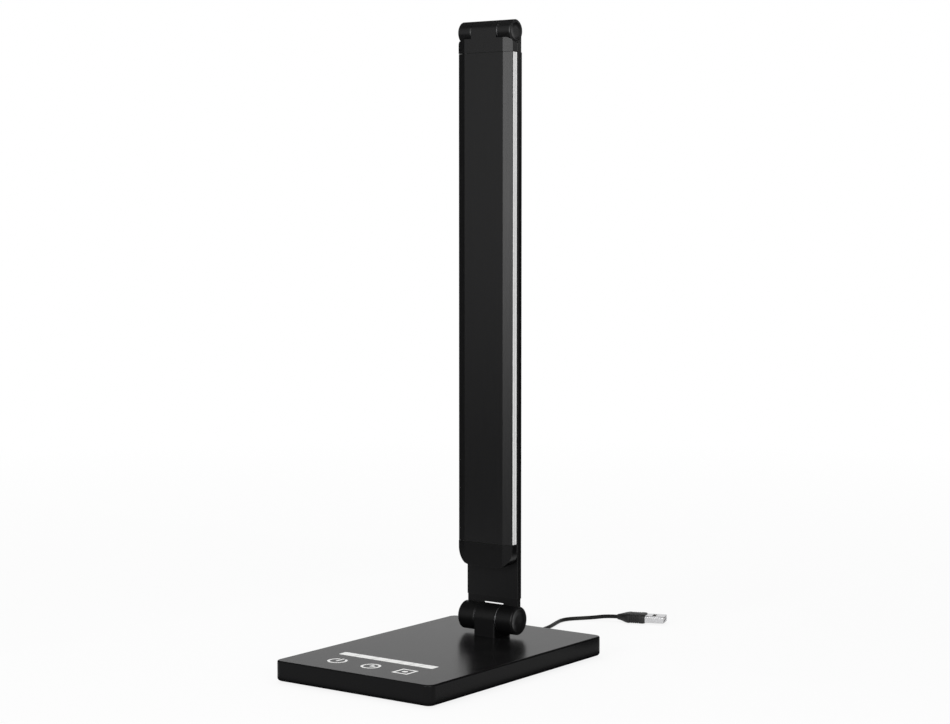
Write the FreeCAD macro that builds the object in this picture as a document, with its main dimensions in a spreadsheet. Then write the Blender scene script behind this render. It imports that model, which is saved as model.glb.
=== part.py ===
import FreeCAD, Part
import math
import os
import re

import Sketcher

Vector = FreeCAD.Vector

# Driving dimensions in millimetres: X runs along the front edge, Y to the back, Z up from the floor.
base_sizes = {
    "base_width": 117.2,
    "base_length": 177.8,
    "base_height": 12.3,
    "base_corner": 5.0,
    "base_top_round": 1.0,
    "base_bottom_round": 2.0,
    "side_wall": 2.4,
    "top_wall": 2.2,
    "cover_thickness": 2.0,
    "cover_gap": 0.3,
    "weight_thickness": 4.4,
    "weight_gap": 2.0,
    "foot_diameter": 12.0,
    "foot_proud": 0.8,
    "foot_recess": 0.8,
    "foot_inset_x": 13.0,
    "foot_inset_y": 13.0,
    "fit_gap": 0.1,
    "overrun": 1.0,
}
screw_sizes = {
    "cover_screw_shank": 2.9,
    "cover_screw_head": 5.4,
    "cover_screw_head_height": 1.1,
    "cover_screw_length": 7.0,
    "cover_boss": 7.0,
    "cover_screw_inset_x": 9.0,
    "cover_screw_inset_y": 34.0,
    "board_screw_shank": 1.9,
    "board_screw_head": 3.6,
    "board_screw_head_height": 0.9,
    "board_screw_depth": 1.6,
    "board_boss": 5.0,
    "post_screw_shank": 3.9,
    "post_screw_head": 7.0,
    "post_screw_head_height": 2.0,
    "post_screw_depth": 2.4,
    "post_screw_spread": 12.4,
    "arm_screw_shank": 1.9,
    "arm_screw_head": 3.6,
    "arm_screw_depth": 1.9,
    "arm_screw_spread": 11.0,
    "head_screw_shank": 2.4,
    "head_screw_head": 4.4,
    "head_screw_head_height": 1.0,
    "head_screw_bite": 0.8,
    "head_screw_spread": 10.0,
    "thread_gap": 0.05,
}
touch_sizes = {
    "board_width": 92.0,
    "board_depth": 42.0,
    "board_thickness": 1.6,
    "board_drop": 1.0,
    "board_front_margin": 12.0,
    "board_hole_inset": 4.0,
    "bar_length": 71.0,
    "bar_depth": 7.0,
    "bar_corner": 1.2,
    "bar_centre_x": -3.6,
    "bar_from_front": 39.9,
    "bar_flange": 1.0,
    "symbol_diameter": 12.2,
    "symbol_line": 1.5,
    "symbol_pitch": 25.5,
    "symbol_centre_x": -1.7,
    "symbol_from_front": 21.3,
    "symbol_depth": 0.4,
    "symbol_gap": 0.03,
    "symbol_proud": 0.04,
    "power_stroke": 7.0,
    "power_opening": 4.4,
    "timer_hand": 3.9,
    "mode_square": 11.4,
    "mode_dot": 3.6,
}
hinge_sizes = {
    "post_width": 15.7,
    "post_flange_width": 34.0,
    "post_flange_depth": 30.0,
    "post_flange_thickness": 3.2,
    "post_opening_gap": 0.15,
    "lower_axis_from_back": 37.6,
    "lower_axis_height": 10.7,
    "lower_barrel": 17.8,
    "lower_barrel_length": 41.0,
    "lower_shaft": 6.0,
    "lower_head": 10.4,
    "lower_head_height": 2.4,
    "lower_nut_across": 9.4,
    "lower_nut_height": 3.0,
    "lower_cap_thickness": 1.5,
    "upper_barrel": 13.9,
    "upper_barrel_length": 39.4,
    "upper_shaft": 5.0,
    "upper_head": 8.0,
    "upper_head_height": 2.0,
    "upper_nut_across": 7.4,
    "upper_nut_height": 2.6,
    "upper_cap_thickness": 1.3,
    "hinge_lead": 2.6,
    "barrel_bevel": 0.45,
    "cap_rim": 0.8,
    "cap_edge_round": 0.3,
    "post_corner": 0.9,
    "tongue_width": 19.0,
    "knuckle_gap": 0.4,
    "washer_thickness": 0.3,
    "running_gap": 0.05,
    "notch_gap": 0.8,
    "cove_gap": 0.4,
}
arm_sizes = {
    "arm_width": 39.2,
    "arm_thickness": 4.2,
    "arm_wall": 0.9,
    "arm_edge_round": 0.6,
    "arm_lower_setback": 13.6,
    "arm_upper_setback": 13.0,
    "bracket_step": 0.45,
    "bracket_tongue": 14.0,
    "arm_lead_width": 3.2,
    "arm_lead_thickness": 1.3,
}
head_sizes = {
    "head_width": 40.9,
    "head_face": 29.2,
    "head_thickness": 8.0,
    "facet_depth": 1.95,
    "head_rim": 1.7,
    "head_lip": 0.6,
    "rim_rebate": 0.85,
    "cover_wall": 1.4,
    "head_drop": 13.0,
    "head_length": 304.0,
    "head_end_rise": 33.75,
    "end_cap_height": 14.7,
    "end_cap_corner": 10.6,
    "shoulder_drop": 4.2,
    "shoulder_corner": 3.2,
    "cap_proud": 0.2,
    "cap_seam": 0.2,
    "cap_plug": 6.5,
    "cap_plug_width": 28.8,
    "cap_back_round": 1.0,
    "diffuser_wall": 1.4,
    "diffuser_inset": 0.3,
    "diffuser_leg": 0.65,
    "diffuser_round": 1.2,
    "tape_thickness": 0.2,
    "tape_width": 28.0,
    "led_board_width": 30.0,
    "led_board_thickness": 1.2,
    "led_board_end_gap": 7.5,
    "led_width": 3.5,
    "led_length": 2.8,
    "led_height": 0.7,
    "led_column_spread": 9.0,
    "led_end_margin": 8.0,
}
cord_sizes = {
    "cord_diameter": 2.6,
    "cord_exit_x": -31.0,
    "boot_length": 12.0,
    "boot_root": 6.4,
    "boot_tip": 3.8,
    "gland_neck": 5.0,
    "gland_flange": 8.0,
    "gland_flange_thickness": 1.3,
    "coil_inner_radius": 9.43,
    "coil_pitch": 3.05,
    "coil_reach": 19.0,
    "coil_climb_start": 2.6,
    "coil_climb_run": 11.5,
    "coil_lift": 1.1,
    "tail_start": 10.4,
    "tie_width": 6.0,
    "tie_thickness": 0.9,
    "plug_grip_width": 13.0,
    "plug_grip_height": 6.4,
    "plug_grip_length": 20.0,
    "plug_grip_round": 2.0,
    "plug_shell_width": 12.0,
    "plug_shell_height": 4.5,
    "plug_shell_length": 13.0,
    "plug_shell_wall": 0.4,
    "plug_tongue_height": 1.8,
    "plug_tongue_setback": 1.0,
}

# Counts, which have no unit.
coil_layers = 4
coil_turns_per_layer = 3
coil_last_layer_turns = 2.75
led_rows = 16

# Shares of the sizes that they follow: tolerances, the bends of the cord and the steps that measure it.
near_share = 0.1
straight_share = 1e-6
bend_share = 0.45
step_share = 0.25

# Places worked out from the driving dimensions.
worked_sizes = {
    "base_top": "foot_proud + base_height",
    "base_back": "base_length / 2",
    "cover_top": "foot_proud + cover_thickness",
    "weight_top": "foot_proud + cover_thickness + weight_thickness",
    "ceiling": "foot_proud + base_height - top_wall",
    "foot_x": "base_width / 2 - foot_inset_x",
    "foot_y": "base_length / 2 - foot_inset_y",
    "cover_screw_x": "base_width / 2 - cover_screw_inset_x",
    "cover_screw_y": "base_length / 2 - cover_screw_inset_y",
    "board_top": "foot_proud + base_height - top_wall - board_drop",
    "board_y": "board_front_margin + board_depth / 2 - base_length / 2",
    "board_hole_x": "board_width / 2 - board_hole_inset",
    "board_hole_y": "board_depth / 2 - board_hole_inset",
    "bar_y": "bar_from_front - base_length / 2",
    "symbol_y": "symbol_from_front - base_length / 2",
    "lower_y": "base_length / 2 - lower_axis_from_back",
    "lower_z": "foot_proud + base_height + lower_axis_height",
    "lower_cap": "lower_barrel - 2 * cap_rim",
    "upper_cap": "upper_barrel - 2 * cap_rim",
    "hinge_rise": "head_drop + head_length + end_cap_height + head_end_rise",
    "upper_y": "base_length / 2 - lower_axis_from_back - hinge_lead",
    "upper_z": "foot_proud + base_height + lower_axis_height + hinge_rise",
    "arm_front": "base_length / 2 - lower_axis_from_back",
    "arm_back": "base_length / 2 - lower_axis_from_back + arm_thickness",
    "arm_bottom": "foot_proud + base_height + lower_axis_height + arm_lower_setback",
    "arm_length": "hinge_rise - arm_lower_setback - arm_upper_setback",
    "cap_front": "base_length / 2 - lower_axis_from_back - hinge_lead - upper_barrel / 2",
    "head_front": "base_length / 2 - lower_axis_from_back - hinge_lead - upper_barrel / 2 + cap_proud",
    "head_top": "foot_proud + base_height + lower_axis_height + hinge_rise - head_drop",
    "cord_z": "foot_proud + cover_thickness + weight_thickness + cord_diameter / 2",
}

doc = FreeCAD.newDocument("desk_lamp")
dims = doc.addObject("Spreadsheet::Sheet", "dims")
driving = {}
for family in (base_sizes, screw_sizes, touch_sizes, hinge_sizes, arm_sizes, head_sizes, cord_sizes):
    driving.update(family)
for row, (alias, number) in enumerate(driving.items(), start=1):
    dims.set(f"A{row}", alias)
    dims.set(f"B{row}", str(number))
    dims.setAlias(f"B{row}", alias)
doc.recompute()


def formula(words):
    """The same formula with every size name pointing at its cell."""
    def cell(match):
        word = match.group(0)
        if word in driving:
            return "dims." + word
        return "worked." + word if word in worked_sizes else word
    return re.sub(r"[a-z][a-z_]*", cell, words)


worked = doc.addObject("Spreadsheet::Sheet", "worked")
for row, (alias, words) in enumerate(worked_sizes.items(), start=1):
    worked.set(f"A{row}", alias)
    worked.set(f"B{row}", "=" + formula(words))
    worked.setAlias(f"B{row}", alias)
doc.recompute()


def size(alias):
    return dims.get(alias) if alias in driving else worked.get(alias)


nodes = []


def node(label, thing):
    """Names a finished sub-part, which gives its file its name."""
    thing.Label = label
    nodes.append(thing)
    return thing


def bind(thing, **formulas):
    for prop, words in formulas.items():
        thing.setExpression(prop, formula(words))


def put(thing, x, y, z, turn=None):
    if turn is not None:
        thing.Placement = FreeCAD.Placement(Vector(), turn)
    for axis, words in (("x", x), ("y", y), ("z", z)):
        thing.setExpression("Placement.Base." + axis, formula(words))


along = {
    "X": FreeCAD.Rotation(Vector(0, 1, 0), 90),
    "Y": FreeCAD.Rotation(Vector(1, 0, 0), -90),
    "Z": FreeCAD.Rotation(),
}


def block(name, dx, dy, dz, x, y, z):
    """A box centred on x and y that stands on z."""
    thing = doc.addObject("Part::Box", name)
    bind(thing, Length=dx, Width=dy, Height=dz)
    put(thing, f"({x}) - ({dx}) / 2", f"({y}) - ({dy}) / 2", z)
    return thing


def rod(name, diameter, length, x, y, z, axis="Z"):
    """A cylinder whose first end is at x, y, z."""
    thing = doc.addObject("Part::Cylinder", name)
    bind(thing, Radius=f"({diameter}) / 2", Height=length)
    put(thing, x, y, z, along[axis])
    return thing


def cone(name, start, end, length, x, y, z, axis="Z"):
    thing = doc.addObject("Part::Cone", name)
    bind(thing, Radius1=f"({start}) / 2", Radius2=f"({end}) / 2", Height=length)
    put(thing, x, y, z, along[axis])
    return thing


def hexagon(name, across, height, x, y, z):
    """A hexagonal prism along X, measured across its flats."""
    thing = doc.addObject("Part::Prism", name)
    thing.Polygon = 6
    bind(thing, Circumradius=f"({across}) / sqrt(3)", Height=height)
    put(thing, x, y, z, along["X"])
    return thing


def fuse(name, *pieces):
    thing = doc.addObject("Part::MultiFuse", name)
    thing.Shapes = list(pieces)
    thing.Refine = True
    return thing


def group(name, pieces):
    thing = doc.addObject("Part::Compound", name)
    thing.Links = list(pieces)
    return thing


def cut(name, base, *tools):
    thing = doc.addObject("Part::Cut", name)
    thing.Base = base
    thing.Tool = tools[0] if len(tools) == 1 else group(name + "_tools", tools)
    doc.recompute()
    if not thing.Shape.Volume < base.Shape.Volume:
        raise RuntimeError(name + " cut nothing")
    return thing


def common(name, first, second):
    thing = doc.addObject("Part::Common", name)
    thing.Base = first
    thing.Tool = second
    return thing


def ease(kind, name, base, width, wanted):
    """Eases the edges of a solid for which wanted(edge) holds."""
    doc.recompute()
    picked = [i for i, edge in enumerate(base.Shape.Edges, start=1) if wanted(edge)]
    if not picked:
        raise RuntimeError(name + " found no edge")
    thing = doc.addObject(kind, name)
    thing.Base = base
    thing.Edges = [(i, size(width), size(width)) for i in picked]
    return thing


def soften(name, base, radius, wanted):
    return ease("Part::Fillet", name, base, radius, wanted)


def bevel(name, base, width, wanted):
    return ease("Part::Chamfer", name, base, width, wanted)


def near(a, b):
    return abs(a - b) < size("fit_gap") * near_share


def flat_at_z(z):
    return lambda edge: all(near(v.Point.z, z) for v in edge.Vertexes)


def upright(edge):
    first = edge.Vertexes[0].Point
    last = edge.Vertexes[-1].Point
    return near(first.x, last.x) and near(first.y, last.y) and not near(first.z, last.z)


# Bodies drawn from sketches.
def new_body(name):
    return doc.addObject("PartDesign::Body", name)


def sketch(body, name, role, offset):
    """A sketch on one of the body's own planes, moved along that plane's normal."""
    drawing = body.newObject("Sketcher::SketchObject", name)
    plane = [p for p in body.Origin.OriginFeatures if p.Role == role][0]
    drawing.AttachmentSupport = (plane, [""])
    drawing.MapMode = "FlatFace"
    drawing.setExpression("AttachmentOffset.Base.z", formula(offset))
    return drawing


def hold(drawing, geometry, point, words, across):
    """Ties one point of a sketch to a formula, measured from the origin."""
    if words == "0":
        drawing.addConstraint(Sketcher.Constraint("PointOnObject", geometry, point, -2 if across else -1))
        return
    kind = "DistanceX" if across else "DistanceY"
    vertex = drawing.getPoint(geometry, point)
    now = vertex.x if across else vertex.y
    index = drawing.addConstraint(Sketcher.Constraint(kind, -1, 1, geometry, point, now))
    drawing.setExpression(f"Constraints[{index}]", formula(words))


scratch_sheet = doc.addObject("Spreadsheet::Sheet", "start_values")


def start_value(words):
    """The present value of a formula, where a sketch line starts before it is tied."""
    scratch_sheet.set("A1", "=" + formula(words))
    scratch_sheet.recompute()
    return float(scratch_sheet.get("A1"))


def outline(drawing, points):
    """A closed polygon with every corner tied to two formulas."""
    places = [Vector(start_value(x), start_value(y), 0) for x, y in points]
    first = drawing.GeometryCount
    for i, place in enumerate(places):
        drawing.addGeometry(Part.LineSegment(place, places[(i + 1) % len(places)]), False)
    for i in range(len(points)):
        follower = first + (i + 1) % len(points)
        drawing.addConstraint(Sketcher.Constraint("Coincident", first + i, 2, follower, 1))
    for i, (x, y) in enumerate(points):
        hold(drawing, first + i, 1, x, True)
        hold(drawing, first + i, 1, y, False)


def rectangle(drawing, width, depth, x="0", y="0"):
    left = f"({x}) - ({width}) / 2"
    right = f"({x}) + ({width}) / 2"
    low = f"({y}) - ({depth}) / 2"
    high = f"({y}) + ({depth}) / 2"
    outline(drawing, [(left, low), (right, low), (right, high), (left, high)])


def circle(drawing, diameter, x, y):
    place = Vector(start_value(x), start_value(y), 0)
    index = drawing.addGeometry(Part.Circle(place, Vector(0, 0, 1), start_value(diameter) / 2), False)
    bore = drawing.addConstraint(Sketcher.Constraint("Diameter", index, start_value(diameter)))
    drawing.setExpression(f"Constraints[{bore}]", formula(diameter))
    hold(drawing, index, 3, x, True)
    hold(drawing, index, 3, y, False)


def pad(body, drawing, length):
    feature = body.newObject("PartDesign::Pad", drawing.Name + "_pad")
    feature.Profile = drawing
    bind(feature, Length=length)
    doc.recompute()
    return feature


def pocket(body, drawing, depth, with_normal=False):
    """Cuts against the sketch's normal, or along it."""
    before = body.Shape.Volume
    feature = body.newObject("PartDesign::Pocket", drawing.Name + "_pocket")
    feature.Profile = drawing
    feature.Reversed = with_normal
    bind(feature, Length=depth)
    doc.recompute()
    if not body.Shape.Volume < before:
        raise RuntimeError(drawing.Name + " cut nothing")
    return feature


def round_over(body, base, name, radius, wanted):
    doc.recompute()
    picked = [f"Edge{i}" for i, edge in enumerate(base.Shape.Edges, start=1) if wanted(edge)]
    if not picked:
        raise RuntimeError(name + " found no edge")
    feature = body.newObject("PartDesign::Fillet", name)
    feature.Base = (base, picked)
    bind(feature, Radius=radius)
    doc.recompute()
    return feature


corners = [(sx, sy) for sx in ("-", "") for sy in ("-", "")]
sides = (("left", "-"), ("right", ""))


def top_opening(body, name, width, depth, x, y, corner):
    """A rectangular hole through the top wall, with rounded corners."""
    plan = sketch(body, name, "XY_Plane", "base_top")
    rectangle(plan, width, depth, x, y)
    hole = pocket(body, plan, "top_wall")
    middle_x = start_value(x)
    middle_y = start_value(y)
    half_width = start_value(width) / 2
    half_depth = start_value(depth) / 2

    def at_corner(edge):
        place = edge.Vertexes[0].Point
        return (upright(edge) and near(abs(place.x - middle_x), half_width)
                and near(abs(place.y - middle_y), half_depth))

    round_over(body, hole, name + "_corners", corner, at_corner)


# Base shell: a rounded slab hollowed from below, with bosses under its top wall.
def base_shell():
    body = new_body("base_shell_body")
    plan = sketch(body, "base_plan", "XY_Plane", "foot_proud")
    rectangle(plan, "base_width", "base_length")
    slab = pad(body, plan, "base_height")
    slab = round_over(body, slab, "base_corners", "base_corner", upright)
    slab = round_over(body, slab, "base_upper_edge", "base_top_round", flat_at_z(size("base_top")))
    round_over(body, slab, "base_lower_edge", "base_bottom_round", flat_at_z(size("foot_proud")))
    hollow = sketch(body, "base_hollow", "XY_Plane", "foot_proud")
    rectangle(hollow, "base_width - 2 * side_wall", "base_length - 2 * side_wall")
    pocket(body, hollow, "base_height - top_wall", True)
    top_opening(body, "bar_slot", "bar_length + 2 * symbol_gap", "bar_depth + 2 * symbol_gap",
                "bar_centre_x", "bar_y", "bar_corner")
    top_opening(body, "post_opening", "post_width + 2 * post_opening_gap",
                "lower_barrel + 2 * post_opening_gap", "0", "lower_y", "post_corner")
    bosses = sketch(body, "cover_bosses", "XY_Plane", "cover_top")
    for sx, sy in corners:
        circle(bosses, "cover_boss", sx + "cover_screw_x", sy + "cover_screw_y")
    pad(body, bosses, "ceiling - cover_top")
    holes = sketch(body, "cover_boss_holes", "XY_Plane", "cover_top")
    for sx, sy in corners:
        circle(holes, "cover_screw_shank + 2 * thread_gap", sx + "cover_screw_x", sy + "cover_screw_y")
    pocket(body, holes, "cover_screw_length - cover_thickness + overrun", True)
    seats = sketch(body, "board_bosses", "XY_Plane", "board_top")
    for sx, sy in corners:
        circle(seats, "board_boss", sx + "board_hole_x", "board_y + " + sy + "board_hole_y")
    pad(body, seats, "board_drop")
    holes = sketch(body, "board_boss_holes", "XY_Plane", "board_top")
    for sx, sy in corners:
        circle(holes, "board_screw_shank + 2 * thread_gap", sx + "board_hole_x",
               "board_y + " + sy + "board_hole_y")
    pocket(body, holes, "board_screw_depth + fit_gap", True)
    exit_hole = sketch(body, "cord_hole", "XZ_Plane", "-base_back - overrun")
    circle(exit_hole, "gland_neck + 2 * fit_gap", "cord_exit_x", "cord_z")
    pocket(body, exit_hole, "side_wall + 2 * overrun", True)
    return body


# Touch symbols: thin light windows in the top wall, drawn once for the piece and once for its recess.
def ring(name, grow):
    low = "base_top - symbol_depth"
    height = f"symbol_depth + symbol_proud + ({grow})"
    outer = rod(name + "_outer", f"symbol_diameter + 2 * ({grow})", height, "0", "0", low)
    inner = rod(name + "_inner", f"symbol_diameter - 2 * symbol_line - 2 * ({grow})", height, "0", "0", low)
    return cut(name, outer, inner), low, height


def placed(name, thing, x, y):
    """A compound of one thing, moved to its place on the base."""
    holder = group(name, [thing])
    put(holder, x, y, "0")
    return holder


def power_symbol(name, grow):
    whole, low, height = ring(name + "_ring", grow)
    gap = block(name + "_gap", f"power_opening - 2 * ({grow})", "symbol_diameter", height,
                "0", "symbol_diameter / 2", low)
    open_ring = cut(name + "_open", whole, gap)
    stroke = block(name + "_stroke", f"symbol_line + 2 * ({grow})", f"power_stroke + 2 * ({grow})", height,
                   "0", "(symbol_diameter - power_stroke) / 2", low)
    return placed(name, fuse(name + "_all", open_ring, stroke), "symbol_centre_x - symbol_pitch", "symbol_y")


def timer_symbol(name, grow):
    whole, low, height = ring(name + "_ring", grow)
    minute = block(name + "_minute", f"symbol_line + 2 * ({grow})", f"timer_hand + 2 * ({grow})", height,
                   "0", "timer_hand / 2 - symbol_line / 2", low)
    hour = block(name + "_hour", f"timer_hand + 2 * ({grow})", f"symbol_line + 2 * ({grow})", height,
                 "timer_hand / 2 - symbol_line / 2", "0", low)
    return placed(name, fuse(name + "_all", whole, minute, hour), "symbol_centre_x", "symbol_y")


def mode_symbol(name, grow):
    low = "base_top - symbol_depth"
    height = f"symbol_depth + symbol_proud + ({grow})"
    outside = f"mode_square + 2 * ({grow})"
    inside = f"mode_square - 2 * symbol_line - 2 * ({grow})"
    outer = block(name + "_outer", outside, outside, height, "0", "0", low)
    inner = block(name + "_inner", inside, inside, height, "0", "0", low)
    frame = cut(name + "_frame", outer, inner)
    dot = rod(name + "_dot", f"mode_dot + 2 * ({grow})", height, "0", "0", low)
    return placed(name, fuse(name + "_all", frame, dot), "symbol_centre_x + symbol_pitch", "symbol_y")


symbols = {"power_icon": power_symbol, "timer_icon": timer_symbol, "mode_icon": mode_symbol}
recesses = []
for label, draw in symbols.items():
    node(label, draw(label + "_piece", "0"))
    recesses.append(draw(label + "_recess", "symbol_gap"))
node("base_top_shell", cut("base_top_shell_cut", base_shell(), *recesses))


# Bottom cover, weight plate, feet and the screws that close the base.
def bottom_cover():
    body = new_body("bottom_cover_body")
    plan = sketch(body, "cover_plan", "XY_Plane", "foot_proud")
    inset = "2 * side_wall - 2 * cover_gap"
    rectangle(plan, "base_width - " + inset, "base_length - " + inset)
    pad(body, plan, "cover_thickness")
    holes = sketch(body, "cover_holes", "XY_Plane", "foot_proud")
    heads = sketch(body, "cover_heads", "XY_Plane", "foot_proud")
    wells = sketch(body, "foot_wells", "XY_Plane", "foot_proud")
    for sx, sy in corners:
        circle(holes, "cover_screw_shank + 2 * fit_gap", sx + "cover_screw_x", sy + "cover_screw_y")
        circle(heads, "cover_screw_head + 2 * fit_gap", sx + "cover_screw_x", sy + "cover_screw_y")
        circle(wells, "foot_diameter + 2 * fit_gap", sx + "foot_x", sy + "foot_y")
    pocket(body, holes, "cover_thickness", True)
    pocket(body, heads, "cover_screw_head_height", True)
    pocket(body, wells, "foot_recess", True)
    return body


def base_weight():
    plate = block("weight_plate", "base_width - 2 * side_wall - 2 * weight_gap",
                  "base_length - 2 * side_wall - 2 * weight_gap", "weight_thickness", "0", "0", "cover_top")
    tools = []
    for i, (sx, sy) in enumerate(corners):
        tools.append(rod(f"weight_boss_hole_{i}", "cover_boss + 2 * fit_gap", "weight_thickness",
                         sx + "cover_screw_x", sy + "cover_screw_y", "cover_top"))
    for side, sx in sides:
        tools.append(rod("weight_screw_hole_" + side, "post_screw_shank + 2 * fit_gap", "weight_thickness",
                         sx + "post_screw_spread", "lower_y", "cover_top"))
        tools.append(rod("weight_head_well_" + side, "post_screw_head + 2 * fit_gap",
                         "post_screw_head_height", sx + "post_screw_spread", "lower_y", "cover_top"))
    return cut("weight_cut", plate, *tools)


def screw(name, shank, head, head_height, depth, x, y, z, axis="Z"):
    """A flat head at x, y, z with its shank running on along the axis."""
    shift = {"X": (1, 0, 0), "Y": (0, 1, 0), "Z": (0, 0, 1)}[axis]
    tip = [f"({p}) + {s} * ({head_height})" for p, s in zip((x, y, z), shift)]
    return fuse(name, rod(name + "_head", head, head_height, x, y, z, axis),
                rod(name + "_shank", shank, depth, *tip, axis))


node("base_bottom_cover", bottom_cover())
node("base_weight", base_weight())
feet = []
cover_screws = []
board_screws = []
for i, (sx, sy) in enumerate(corners):
    feet.append(rod(f"foot_{i}", "foot_diameter", "foot_proud + foot_recess",
                    sx + "foot_x", sy + "foot_y", "0"))
    cover_screws.append(screw(f"cover_screw_{i}", "cover_screw_shank", "cover_screw_head",
                              "cover_screw_head_height", "cover_screw_length - cover_screw_head_height",
                              sx + "cover_screw_x", sy + "cover_screw_y", "foot_proud"))
    board_screws.append(screw(f"board_screw_{i}", "board_screw_shank", "board_screw_head",
                              "board_screw_head_height", "board_thickness + board_screw_depth",
                              sx + "board_hole_x", "board_y + " + sy + "board_hole_y",
                              "board_top - board_thickness - board_screw_head_height"))
node("rubber_feet", group("feet", feet))
node("base_screws", group("cover_screws", cover_screws))
node("board_screws", group("board_screw_set", board_screws))

# Touch board under the top wall, with the light guide of the brightness slider standing on it.
board = block("board_plate", "board_width", "board_depth", "board_thickness", "0", "board_y",
              "board_top - board_thickness")
board_holes = [rod(f"board_hole_{i}", "board_screw_shank + 2 * fit_gap", "board_thickness",
                   sx + "board_hole_x", "board_y + " + sy + "board_hole_y", "board_top - board_thickness")
               for i, (sx, sy) in enumerate(corners)]
node("touch_board", cut("board_cut", board, *board_holes))
guide_bar = block("guide_bar", "bar_length", "bar_depth", "top_wall + symbol_proud + board_drop",
                  "bar_centre_x", "bar_y", "board_top")
guide = soften("guide_window", guide_bar, "bar_corner", upright)
guide_flange = block("guide_flange", "bar_length + 2 * bar_flange", "bar_depth + 2 * bar_flange",
                     "board_drop", "bar_centre_x", "bar_y", "board_top")
node("brightness_bar", fuse("guide", guide, guide_flange))


# Hinge post: it stands on the weight plate, passes the top wall and ends in the centre knuckle.
def hinge_post():
    bar = block("post_bar", "post_width", "lower_barrel", "lower_z - weight_top",
                "0", "lower_y", "weight_top")
    stem = soften("post_stem", bar, "post_corner", upright)
    knuckle = rod("post_knuckle", "lower_barrel", "post_width", "-post_width / 2", "lower_y", "lower_z", "X")
    flange = block("post_flange", "post_flange_width", "post_flange_depth", "post_flange_thickness",
                   "0", "lower_y", "weight_top")
    solid = fuse("post_solid", stem, knuckle, flange)
    tools = [rod("post_bore", "lower_shaft + 2 * running_gap", "post_width", "-post_width / 2",
                 "lower_y", "lower_z", "X")]
    for side, sx in sides:
        tools.append(rod("post_thread_" + side, "post_screw_shank + 2 * thread_gap", "post_flange_thickness",
                         sx + "post_screw_spread", "lower_y", "weight_top"))
    return cut("post_cut", solid, *tools)


node("hinge_post", hinge_post())
node("post_screws", group("post_screw_set", [
    screw("post_screw_" + side, "post_screw_shank", "post_screw_head", "post_screw_head_height",
          "weight_thickness - post_screw_head_height + post_screw_depth",
          sx + "post_screw_spread", "lower_y", "cover_top") for side, sx in sides]))


# Both hinges share one build: outer knuckles on the arm, a shaft with a head and a nut, washers and caps.
def barrel(prefix, inner_half):
    """Two outer knuckles with their shaft bore, head and nut wells and cap wells."""
    y = prefix + "_y"
    z = prefix + "_z"
    end = prefix + "_barrel_length / 2"
    solids = []
    tools = []
    for side, sx in sides:
        start = inner_half if sx == "" else "-" + end
        raw = rod(f"{prefix}_{side}_raw", prefix + "_barrel", f"{end} - ({inner_half})",
                  start, y, z, "X")
        solids.append(bevel(f"{prefix}_{side}_knuckle", raw, "barrel_bevel", lambda edge: edge.isClosed()))
        cap_start = f"{end} - {prefix}_cap_thickness - fit_gap"
        well = prefix + ("_nut_height" if sx == "" else "_head_height")
        well_start = f"{cap_start} - {well} - fit_gap"
        wide = f"{prefix}_cap + 2 * fit_gap"
        filler = f"{prefix}_nut_across * 2 / sqrt(3)" if sx == "" else prefix + "_head"
        narrow = f"{filler} + 4 * fit_gap"
        cap_length = f"{prefix}_cap_thickness + fit_gap"
        well_length = f"{well} + 2 * fit_gap"
        if sx == "":
            tools.append(rod(f"{prefix}_{side}_cap_well", wide, cap_length, cap_start, y, z, "X"))
            tools.append(rod(f"{prefix}_{side}_well", narrow, well_length, well_start, y, z, "X"))
        else:
            tools.append(rod(f"{prefix}_{side}_cap_well", wide, cap_length, "-" + end, y, z, "X"))
            tools.append(rod(f"{prefix}_{side}_well", narrow, well_length,
                             f"-({cap_start}) - fit_gap", y, z, "X"))
    tools.append(rod(prefix + "_arm_bore", f"{prefix}_shaft + 2 * running_gap", prefix + "_barrel_length",
                     "-" + end, y, z, "X"))
    return solids, tools


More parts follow.
